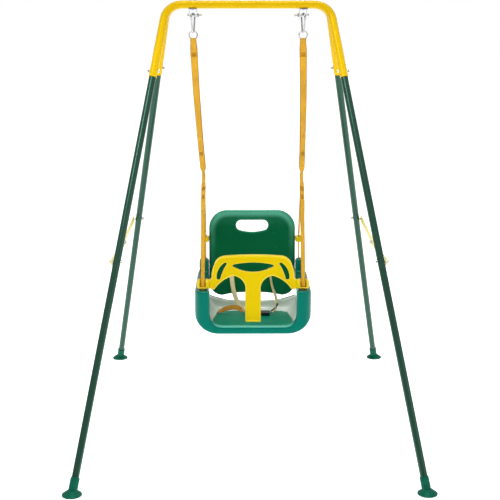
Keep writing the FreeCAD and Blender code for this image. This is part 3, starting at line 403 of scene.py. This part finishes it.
COVE_RADIUS = 0.024
COVE_RISE = 0.020        # how far above the tub's floor the cove reaches
COVE_SHARE = 0.6         # how much of a full quarter round it is
COVE_FRONT, COVE_REAR = -0.1, 0.123
COVE_OFF = 0.133
COVE_FADE = 0.04         # length over which the cove grows behind its front end
INWARD_FROM = 0.09       # depth from which a forward normal belongs to the rear wall
SIDEWAYS_FROM = 0.1      # off from which a sideways normal belongs to a side wall
UNDERSIDE, UPWARD, INWARD = -0.2, 0.25, 0.3

SIDE_WALL_OFF, SIDE_WALL_DEPTH, SIDE_WALL_FACING = (0.100, 0.134), 0.122, 0.05
REAR_WALL_OFF, REAR_WALL_DEPTH, REAR_WALL_FACING = 0.128, (0.085, 0.124), 0.35
WALL_HEIGHT = PAN_TOP, 0.405
CURVE_HEIGHT, CURVE_OFF, CURVE_DEPTH, CURVE_FACING = 0.345, 0.132, (-0.06, 0.122), 0.2
FLOOR_HEIGHT, FLOOR_OFF, FLOOR_FRONT, FLOOR_FACING = 0.322, 0.126, -0.108, 0.5
CORNER_MARGIN = 0.015    # how far into its corners the floor's colour goes

LIP_REAR, LIP_OFF, LIP_TOP = -0.085, 0.136, 0.40

BACK_LEAN = math.tan(math.radians(8))
BACK_FOOT_DEPTH, BACK_FOOT_HEIGHT = 0.119, 0.346
BACK_CORNER = 0.058      # corner radius that the painted highlight on the border follows
BORDER_IN = 0.009        # the border's middle inside the outline
BORDER_HALF = 0.013
BORDER_LEAST, BORDER_GAIN = 0.12, 0.88
TOP_HIGHLIGHT = 0.16          # strength of the painted highlight over the whole top of the backrest
ROLL_CORNER = 0.052      # corner radius that the rolled border follows
ROLL_WIDTH = 0.017
ROLL_THIN = 0.2          # share of the thickness left at the very outline
ROLL_SHAPE = 0.6         # below 1 the border is round, at 1 it is a straight taper


def link_piece(name, mesh, body, material):
    piece = add_object(name, mesh)
    mesh.materials.clear()
    mesh.materials.append(material)
    for polygon in mesh.polygons:
        polygon.use_smooth = True
        polygon.material_index = 0
    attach(piece, body)
    return piece


def rounded_from_cad(name, node, body, material, voxel, passes, triangles):
    """A moulded look: the CAD node's own shape, remeshed finely, relaxed to round its edges, then thinned."""
    source = add_object(name + "_source", frame["nodes"][node].data.copy())
    remesh = source.modifiers.new("remesh", "REMESH")
    remesh.mode = "VOXEL"
    remesh.voxel_size = voxel
    relax = source.modifiers.new("relax", "SMOOTH")
    relax.factor = 0.5
    relax.iterations = passes
    thin = source.modifiers.new("thin", "DECIMATE")
    thin.ratio = triangles
    bpy.context.view_layer.update()
    graph = bpy.context.evaluated_depsgraph_get()
    mesh = bpy.data.meshes.new_from_object(source.evaluated_get(graph))
    mesh.name = name
    bpy.data.objects.remove(source)
    piece = link_piece(name, mesh, body, material)
    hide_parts(node)
    return piece


def raise_cove(piece):
    """The tub's floor curves up into its side and rear walls."""
    normals = [vertex.normal.copy() for vertex in piece.data.vertices]
    for vertex, normal in zip(piece.data.vertices, normals):
        place = vertex.co
        off = place.x - SEAT_MIDDLE
        from_rear = -normal.y if place.y > INWARD_FROM else 0
        from_side = -math.copysign(normal.x, normal.x * off) if abs(off) > SIDEWAYS_FROM else 0
        inward = max(from_rear, from_side)
        outside = (place.z > PAN_TOP + COVE_RISE or abs(off) > COVE_OFF
                   or not COVE_FRONT < place.y < COVE_REAR)
        if outside or normal.z < UNDERSIDE or (normal.z < UPWARD and inward < INWARD):
            continue
        fade_in = rise(place.y, COVE_FRONT, COVE_FADE)
        beside = max(0.0, abs(off) - (TUB_HALF - COVE_RADIUS)) * fade_in
        behind = max(0.0, place.y - (TUB_REAR - COVE_RADIUS))
        reach = min(COVE_RADIUS, math.hypot(beside, behind))
        share = min(1.0, 1 - (place.z - PAN_TOP) / COVE_RISE)
        place.z += COVE_SHARE * share * (COVE_RADIUS - math.sqrt(COVE_RADIUS * COVE_RADIUS - reach * reach))
    piece.data.update()


def within(value, limits):
    return limits[0] < value < limits[1]


def paint_inner_walls(piece, wall, floor):
    """The tub's inner side and rear walls take a glossier material whose pale colour is a painted reflection;
    its floor takes a duller material painted a lighter green, as painted top light.
    """
    piece.data.materials.append(wall)
    piece.data.materials.append(floor)
    for polygon in piece.data.polygons:
        place, normal = polygon.center, polygon.normal
        off = place.x - SEAT_MIDDLE
        side = abs(off)
        beside = (within(side, SIDE_WALL_OFF) and abs(place.y) < SIDE_WALL_DEPTH
                  and normal.x * off < -SIDE_WALL_FACING * side)
        behind = (side < REAR_WALL_OFF and within(place.y, REAR_WALL_DEPTH)
                  and normal.y < -REAR_WALL_FACING)
        edge = 0.102 + 0.1 * max(0.0, 0.09 - place.y)
        corner = max(0.0, side - edge + 0.014) + max(0.0, place.y - 0.080)
        on_wall = within(place.z, WALL_HEIGHT) and (beside or behind)
        on_curve = (place.z < CURVE_HEIGHT and side < CURVE_OFF and within(place.y, CURVE_DEPTH)
                    and normal.z > CURVE_FACING and corner >= CORNER_MARGIN)
        on_floor = (place.z < FLOOR_HEIGHT and side < FLOOR_OFF and place.y > FLOOR_FRONT
                    and normal.z > FLOOR_FACING and corner < CORNER_MARGIN)
        if on_wall or on_curve:
            polygon.material_index = 1
        elif on_floor:
            polygon.material_index = 2


def paint_highlight(piece, weight):
    """Store how strongly each place takes a painted highlight, from a weight of its place and normal."""
    layer = piece.data.color_attributes.new("painted_highlight", "FLOAT_COLOR", "POINT")
    for vertex in piece.data.vertices:
        share = clamp(weight(vertex.co, vertex.normal))
        layer.data[vertex.index].color = (share, share, share, 1)


def lip_highlight(place, normal):
    """A painted highlight on the seat's inner lip, on its upward-facing surfaces where it rolls from the
    front rim down to the pan.
    """
    if place.y > LIP_REAR or abs(place.x - SEAT_MIDDLE) > LIP_OFF or place.z > LIP_TOP:
        return 0.0
    low_down = clamp((0.322 - place.z) / 0.012 + 0.4)
    return rise(normal.z, 0.25, 0.45) * low_down


def back_highlight(place, normal):
    """A painted highlight on the backrest's border, brightest along its top and upper corners where the top
    light falls, with a fainter painted highlight over the whole top.
    """
    if normal.y > 0.3:
        return 0.0
    half = (BACK_HIGH.x - BACK_LOW.x) / 2
    across = max(0.0, abs(place.x - SEAT_MIDDLE) - (half - BACK_CORNER))
    above = max(0.0, place.z - (BACK_HIGH.z - BACK_CORNER))
    gap = BACK_CORNER - math.hypot(across, above)
    border = max(0.0, 1 - abs(gap - BORDER_IN) / BORDER_HALF)
    height = rise(place.z, 0.47, 0.11)
    return border * (BORDER_LEAST + BORDER_GAIN * height) + TOP_HIGHLIGHT * rise(place.z, 0.54, 0.05)


def roll_border(piece):
    """Thin the backrest towards its outline so that its border rolls over; the outline itself stays."""
    middle_x, half = (BACK_LOW.x + BACK_HIGH.x) / 2, (BACK_HIGH.x - BACK_LOW.x) / 2
    for vertex in piece.data.vertices:
        place = vertex.co
        across = max(0.0, abs(place.x - middle_x) - (half - ROLL_CORNER))
        above = max(0.0, place.z - (BACK_HIGH.z - ROLL_CORNER))
        below = max(0.0, BACK_LOW.z + ROLL_CORNER * 0.7 - place.z)
        gap = ROLL_CORNER - math.hypot(across, max(above, below))
        fraction = clamp(gap / ROLL_WIDTH)
        middle = BACK_FOOT_DEPTH + (place.z - BACK_FOOT_HEIGHT) * BACK_LEAN
        place.y = middle + (place.y - middle) * (ROLL_THIN + (1 - ROLL_THIN) * fraction ** ROLL_SHAPE)
    piece.data.update()


# ---------------------------------------------------------------- ribbons and threads

# Corners of a ribbon's section, in halves of its width and of its thickness.
RIBBON_SECTION = ((-1, -0.55), (-0.93, -1), (-0.5, -1), (0, -1), (0.5, -1), (0.93, -1), (1, -0.55),
                  (1, 0.55), (0.93, 1), (0.5, 1), (0, 1), (-0.5, 1), (-0.93, 1), (-1, 0.55))
THREAD_RADIUS = 0.00034
THREAD_SIDES = 8
TACK_ROWS = 14
TACK_HALF = 0.36         # half of a bar tack's width, as a share of the strap's
TACK_LIFT = 0.0001       # thread's middle above the webbing
TINY = 1e-9              # least divisor


def smooth_route(points):
    """Points along the smooth NURBS line of a route."""
    curve = bpy.data.curves.new("route", "CURVE")
    curve.dimensions = "3D"
    curve.resolution_u = 12
    spline = curve.splines.new("NURBS")
    spline.points.add(len(points) - 1)
    for target, point in zip(spline.points, points):
        target.co = (*point, 1)
    spline.order_u = 3
    spline.use_endpoint_u = True
    holder = bpy.data.objects.new("route", curve)
    mesh = bpy.data.meshes.new_from_object(holder)
    line = [vertex.co.copy() for vertex in mesh.vertices]
    bpy.data.objects.remove(holder)
    bpy.data.curves.remove(curve)
    bpy.data.meshes.remove(mesh)
    return line


def resample(line, step):
    """Evenly spaced points along a polyline, and its length."""
    lengths = [0.0]
    for before, after in zip(line, line[1:]):
        lengths.append(lengths[-1] + (after - before).length)
    total = lengths[-1]
    count = max(2, round(total / step))
    points, place = [], 0
    for number in range(count + 1):
        wanted = total * number / count
        while place < len(lengths) - 2 and lengths[place + 1] < wanted:
            place += 1
        span = max(lengths[place + 1] - lengths[place], TINY)
        points.append(line[place].lerp(line[place + 1], min(1, (wanted - lengths[place]) / span)))
    return points, total


def along(stops, fraction):
    """A value between (fraction, value) stops, smoothly blended; values are numbers or vectors."""
    for (low, first), (high, second) in zip(stops, stops[1:]):
        if fraction <= high:
            blend = (fraction - low) / max(high - low, TINY)
            blend = blend * blend * (3 - 2 * blend)
            return first * (1 - blend) + second * blend
    return stops[-1][1]


def ribbon(name, route, across, width, thickness, body, material, step=0.003):
    """Flat webbing along a smooth route. across and width are (fraction, value) stops."""
    line, total = resample(smooth_route([Vector(point) for point in route]), step)
    vertices, faces, uvs = [], [], []
    count, ring = len(line), len(RIBBON_SECTION)

    def weave_place(corner, row):
        return RIBBON_SECTION[corner][0] * 0.5 + 0.5, row * total / (count - 1)

    for number, point in enumerate(line):
        fraction = number / (count - 1)
        tangent = (line[min(number + 1, count - 1)] - line[max(number - 1, 0)]).normalized()
        side = along(across, fraction)
        side = (side - tangent * side.dot(tangent)).normalized()
        normal = tangent.cross(side)
        half = along(width, fraction) / 2
        for u, v in RIBBON_SECTION:
            vertices.append(point + side * (u * half) + normal * (v * thickness / 2))
    for number in range(count - 1):
        for corner in range(ring):
            following = (corner + 1) % ring
            face = ((corner, number), (following, number), (following, number + 1), (corner, number + 1))
            faces.append(tuple(row * ring + place for place, row in face))
            uvs.extend(weave_place(place, row) for place, row in face)
    for row, order in ((0, range(ring - 1, -1, -1)), (count - 1, range(ring))):
        faces.append(tuple(row * ring + corner for corner in order))
        uvs.extend(weave_place(corner, row) for corner in order)
    mesh = bpy.data.meshes.new(name)
    mesh.from_pydata(vertices, [], faces)
    layer = mesh.uv_layers.new(name="weave")
    for loop, uv in zip(layer.data, uvs):
        loop.uv = uv
    mesh.update()
    return link_piece(name, mesh, body, material), line, total


def threads(name, runs, radius, body, material):
    """Thin round threads along several polylines, in one mesh."""
    vertices, faces = [], []
    for line in runs:
        base = len(vertices)
        for number, point in enumerate(line):
            ahead = line[min(number + 1, len(line) - 1)] - line[max(number - 1, 0)]
            tangent = ahead.normalized()
            helper = Vector((0, 0, 1)) if abs(tangent.z) < 0.9 else Vector((1, 0, 0))
            side = tangent.cross(helper).normalized()
            up = side.cross(tangent)
            for corner in range(THREAD_SIDES):
                angle = math.tau * corner / THREAD_SIDES
                vertices.append(point + (side * math.cos(angle) + up * math.sin(angle)) * radius)
        for number in range(len(line) - 1):
            for corner in range(THREAD_SIDES):
                following = (corner + 1) % THREAD_SIDES
                first = base + number * THREAD_SIDES
                second = first + THREAD_SIDES
                faces.append((first + corner, first + following, second + following, second + corner))
        last = base + (len(line) - 1) * THREAD_SIDES
        faces.append(tuple(base + corner for corner in range(THREAD_SIDES - 1, -1, -1)))
        faces.append(tuple(last + corner for corner in range(THREAD_SIDES)))
    mesh = bpy.data.meshes.new(name)
    mesh.from_pydata(vertices, [], faces)
    mesh.update()
    link_piece(name, mesh, body, material)


def bar_tack(line, across, width, thickness, start, end, face):
    """A zigzag of sewing thread on one face of a ribbon, between two fractions of its length."""
    last = len(line) - 1
    first, final = round(start * last), max(round(end * last), round(start * last) + 2)
    ahead = line[final] - line[first]
    tangent = ahead.normalized()
    side = along(across, (start + end) / 2)
    side = (side - tangent * side.dot(tangent)).normalized()
    lift = tangent.cross(side) * face * (thickness / 2 + TACK_LIFT)
    half = along(width, (start + end) / 2) * TACK_HALF
    return [line[first] + ahead * (row / TACK_ROWS) + side * (half if row % 2 else -half) + lift
            for row in range(TACK_ROWS + 1)]


def stitch(name, strap, starts, length, material):
    """Bar tacks on both faces of a strap, given as its (line, across, width, thickness)."""
    runs = [bar_tack(*strap, start, start + length, face) for start in starts for face in (-1, 1)]
    threads(name, runs, THREAD_RADIUS, "swing", material)


# ---------------------------------------------------------------- suspension webbing

JUNCTION = Vector((0.139, 0, 0.715))     # where the seat straps meet the hanging webbing
EYE_HEIGHT = 0.0165
RING_WIRE = 0.0035
FLAT = Vector((1, 0, 0))                 # across a strap that faces forwards

LOOP_WIDTH, LOOP_NARROW, LOOP_PINCH = 0.020, 0.0165, 0.008
LOOP_THICKNESS = 0.0015
LOOP_BOW = 0.0026
LOOP_TACKS = (0.285, 0.425, 0.795, 0.925)
LOOP_TACK_LENGTH = 0.016

FRONT_WIDTH = 0.0145
REAR_WIDTH = 0.0185
STRAP_THICKNESS = 0.0018
FRONT_TACKS = (0.17, 0.23)
FRONT_TACK_LENGTH = 0.03
ARM_DEPTH = -0.120                       # the strap's slot in the seat's arm, fore and aft


def side_point(side, x, y, z):
    """A point beside the seat, whose middle hangs a little to the right."""
    return Vector((side * x + SEAT_MIDDLE, y, z))


def ring_line(side):
    """Middle of the ring's lowest wire, which the webbing goes round."""
    low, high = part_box("hanger_ring_l" if side < 0 else "hanger_ring_r")
    return Vector(((low.x + high.x) / 2, (low.y + high.y) / 2, low.z + RING_WIRE / 2))


def hanging_loop(letter, side, material, thread):
    """The doubled webbing: over the ring's wire at its top, pinched through the eye at its foot."""
    top = ring_line(side)
    x_top, x_low = top.x, side * JUNCTION.x + SEAT_MIDDLE
    low = JUNCTION.z + EYE_HEIGHT / 2

    def x_at(z):
        share = (z - low) / (top.z - low)
        bow = LOOP_BOW * math.sin(math.pi * min(1, max(0, share)))
        return x_low + (x_top - x_low) * share + side * bow

    def strand(sign):
        """Heights and fore-and-aft offsets of one strand, from the ring down."""
        stops = ((1.090, 0.0028), (1.060, 0.0022), (1.000, 0.0021), (0.940, 0.0030), (0.880, 0.0052),
                 (0.830, 0.0074), (0.790, 0.0070), (0.760, 0.0046), (0.742, 0.0030), (0.732, 0.0026))
        return [Vector((x_at(z), sign * offset, z)) for z, offset in stops]

    over = [Vector((x_top, y, z)) for y, z in ((-0.0031, 1.0965), (0, 1.1005), (0.0031, 1.0965))]
    under = [Vector((x_low, y, z)) for y, z in ((0.0024, low - 0.001), (0, low - 0.004),
                                                (-0.0024, low - 0.001))]
    front, back = strand(-1), strand(1)
    half = len(front) // 2
    route = front[:half + 1][::-1] + over + back + under + front[half:][::-1]
    turned = Vector((0.80, side * 0.60, 0))
    across = ((0, turned), (0.2, FLAT * 0.5 + turned * 0.5), (0.32, FLAT), (0.40, FLAT),
              (0.58, FLAT * 0.4 + turned * 0.6), (0.78, turned), (0.85, FLAT), (0.92, turned), (1, turned))
    width = ((0, LOOP_WIDTH), (0.30, LOOP_WIDTH), (0.335, LOOP_NARROW), (0.365, LOOP_NARROW),
             (0.40, LOOP_WIDTH), (0.79, LOOP_WIDTH), (0.825, LOOP_NARROW), (0.845, LOOP_PINCH),
             (0.862, LOOP_PINCH), (0.882, LOOP_NARROW), (0.915, LOOP_WIDTH), (1, LOOP_WIDTH))
    piece, line, total = ribbon(f"webbing_loop_{letter}", route, across, width, LOOP_THICKNESS, "swing",
                                material)
    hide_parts(f"hanging_webbing_{letter}")
    stitch(f"hanging_stitching_{letter}", (line, across, width, LOOP_THICKNESS), LOOP_TACKS,
           LOOP_TACK_LENGTH, thread)


def front_strap(letter, side, material, thread):
    """From its sewn eye at the junction down through the T bar's sleeve into the arm."""
    x, z = JUNCTION.x, JUNCTION.z
    eye = [(0.002, z - 0.012), (0.0045, z - 0.003), (0.0035, z + 0.006), (0, z + 0.0095),
           (-0.0035, z + 0.006), (-0.0045, z - 0.003), (-0.0045, z - 0.014)]
    run = [(-0.028, z - 0.070), (-0.061, 0.568), (-0.0905, 0.498), (-0.1155, 0.442), (-0.1222, 0.425),
           (ARM_DEPTH, 0.410), (ARM_DEPTH, 0.394)]
    route = [side_point(side, x, y, height) for y, height in eye]
    route += [side_point(side, x + 0.001, y, height) for y, height in run]
    turned = Vector((0.90, side * 0.42, 0.1))
    across = ((0, FLAT), (0.12, FLAT), (0.25, turned), (0.45, turned), (0.7, FLAT), (1, FLAT))
    width = ((0, 0.010), (0.1, 0.009), (0.18, 0.013), (0.3, FRONT_WIDTH), (0.42, 0.0125), (0.7, 0.0118),
             (0.89, 0.011), (1, 0.0125))
    piece, line, total = ribbon(f"seat_strap_front_{letter}", route, across, width, STRAP_THICKNESS,
                                "swing", material)
    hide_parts(f"front_strap_{letter}")
    stitch(f"strap_stitching_{letter}", (line, across, width, STRAP_THICKNESS), FRONT_TACKS,
           FRONT_TACK_LENGTH, thread)


def rear_strap(letter, side, material):
    """From the junction through the backrest's knob into the rear post, edge to the front."""
    x, z = JUNCTION.x, JUNCTION.z
    run = [(0.004, z - 0.006), (0.012, z - 0.019), (0.045, 0.6435), (0.080, 0.588), (0.108, 0.5440),
           (0.128, 0.513), (0.1285, 0.500), (0.124, 0.474), (0.121, 0.452), (0.121, 0.428)]
    route = [side_point(side, x, y, height) for y, height in run]
    start = Vector((0.5 * side, 0.8, 0.4))
    edgeways = Vector((0.30 * side, 0.85, 0.5))
    upright = Vector((0.20 * side, 1, 0.1))
    across = ((0, start), (0.15, edgeways), (0.65, edgeways), (0.8, upright), (1, upright))
    width = ((0, 0.008), (0.06, 0.009), (0.2, REAR_WIDTH), (1, REAR_WIDTH))
    piece, line, total = ribbon(f"seat_strap_rear_{letter}", route, across, width, STRAP_THICKNESS,
                                "swing", material)
    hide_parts(f"rear_strap_{letter}")


# ---------------------------------------------------------------- harness

HARNESS_WIDTH = 0.0135
HARNESS_THICKNESS = 0.0014
HARNESS_STEP = 0.002
HARNESS = {      # routes in millimetres, from the seat to the buckle
    "shoulder_strap_l": [(-50, 110, 412), (-48, 98, 388), (-44, 90, 360), (-36, 82, 333),
                         (-24, 70, 313), (-10, 56, 303)],
    "shoulder_strap_r": [(66, 110, 412), (68, 98, 388), (74, 92, 362), (84, 84, 338),
                         (86, 74, 318), (79, 61, 305), (67.5, 52, 303)],
    "lap_strap_l": [(-90, 60, 300.5), (-80, 57, 304.5), (-68, 54, 311), (-52, 51, 316),
                    (-36, 50, 317.5), (-23, 49, 311), (-13, 47.5, 302.5)],
}
SLOT_END = ((0.1370, 0.4195), (0.1290, 0.4190), (0.1200, 0.4180), (0.1135, 0.4158))     # depths, heights
TONGUE = [(88, 72, 322), (84, 66, 313), (76, 57.5, 306), (68, 51.5, 303)]
TONGUE_WIDTH, TONGUE_THICKNESS = 0.0075, 0.0028


def slot_end(node, start, turn, material):
    """The last of a shoulder strap, from its free run back through the backrest's slot."""
    route = [Vector((start.x, y, z)) for y, z in SLOT_END] + [start]
    turns = ((0, FLAT), (0.55, FLAT), (1, turn))
    width = ((0, HARNESS_WIDTH), (1, HARNESS_WIDTH))
    return ribbon(node + "_end", route, turns, width, HARNESS_THICKNESS, "swing",
                  material, step=HARNESS_STEP)[0]


def buckle_tongue(material):
    """The black tongue that the right shoulder strap ends in."""
    route = [Vector(point) * MM for point in TONGUE]
    turns = ((0, Vector((0.5, 0.2, 0.8))), (1, Vector((0.3, 0.5, 0.8))))
    width = ((0, TONGUE_WIDTH), (1, TONGUE_WIDTH))
    ribbon("buckle_tongue", route, turns, width, TONGUE_THICKNESS, "swing", material,
           step=HARNESS_STEP)


def harness(materials):
    """Narrow webbing from the backrest's slots and the pan to the buckle."""
    upright = Vector((0, 0.4, 0.9))
    looks = {
        "shoulder_strap_l": (materials["pale_webbing"],
                             ((0, Vector((1, 0.1, 0))), (1, Vector((0.8, -0.3, 0.5))))),
        "shoulder_strap_r": (materials["pale_webbing"],
                             ((0, Vector((0.35, 0.9, 0.2))), (1, Vector((0.4, 0.8, 0.2))))),
        "lap_strap_l": (materials["lap_webbing"],
                        ((0, Vector((0, 1, 0.3))), (0.3, upright), (0.8, upright), (1, Vector((0, 1, 0))))),
    }
    width = ((0, HARNESS_WIDTH), (0.8, HARNESS_WIDTH), (1, 0.012))
    buckle_tongue(materials["black"])
    for node, (material, turns) in looks.items():
        route = [Vector(point) * MM for point in HARNESS[node]]
        piece, line, total = ribbon(node + "_webbing", route, turns, width, HARNESS_THICKNESS,
                                    "swing", material, step=HARNESS_STEP)
        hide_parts(node)
        extras = [slot_end(node, route[0], turns[0][1], material)] if node.startswith("shoulder") else []


# ---------------------------------------------------------------- the whole look

def dress_nodes(materials):
    """Give every carried-over CAD node its procedural material."""
    by_slot = {
        "yellow_paint": materials["yellow_paint"],
        "green_paint": materials["green_paint"],
        "green_rubber": materials["foot_rubber"],
        "yellow_links": materials["link_paint"],
        "zinc_steel": materials["zinc"],
        "seat_plastic": materials["seat"],
        "yellow_plastic": materials["t_bar"],
        "orange_webbing": materials["orange_webbing"],
        "harness_webbing": materials["pale_webbing"],
        "black_plastic": materials["black"],
    }
    for part in frame["record"]["subparts"]:
        node = frame["nodes"][part["node"]]
        node.data.materials.clear()
        node.data.materials.append(by_slot[part["material_slot"]])


def make_mouldings(materials):
    """The moulded pieces, each with the size of its mesh and how far its edges are relaxed."""
    shell = rounded_from_cad("seat_moulding", "seat_shell", "swing", materials["seat"],
                             voxel=0.0018, passes=36, triangles=0.5)
    raise_cove(shell)
    paint_inner_walls(shell, materials["inner"], materials["pan"])
    paint_highlight(shell, lip_highlight)
    panel = rounded_from_cad("backrest_moulding", "backrest", "swing", materials["back"],
                             voxel=0.0016, passes=6, triangles=0.6)
    roll_border(panel)
    paint_highlight(panel, back_highlight)
    rounded_from_cad("t_bar_moulding", "t_bar", "t_bar", materials["t_bar"],
                     voxel=0.0011, passes=6, triangles=0.5)
    for node, body in (("buckle_body", "swing"), ("buckle_button", "buckle_button")):
        rounded_from_cad(node + "_moulding", node, body, materials["black"],
                         voxel=0.0007, passes=4, triangles=0.6)


def main():
    make_camera()
    materials = make_materials()
    for letter, side in SIDES:
        hanging_loop(letter, side, materials["orange_webbing"], materials["thread"])
        front_strap(letter, side, materials["orange_webbing"], materials["thread"])
        rear_strap(letter, side, materials["orange_webbing"])
    harness(materials)
    make_room()
    for light in LIGHTS:
        area_light(*light)
    make_floor()
    dress_nodes(materials)
    make_mouldings(materials)


main()
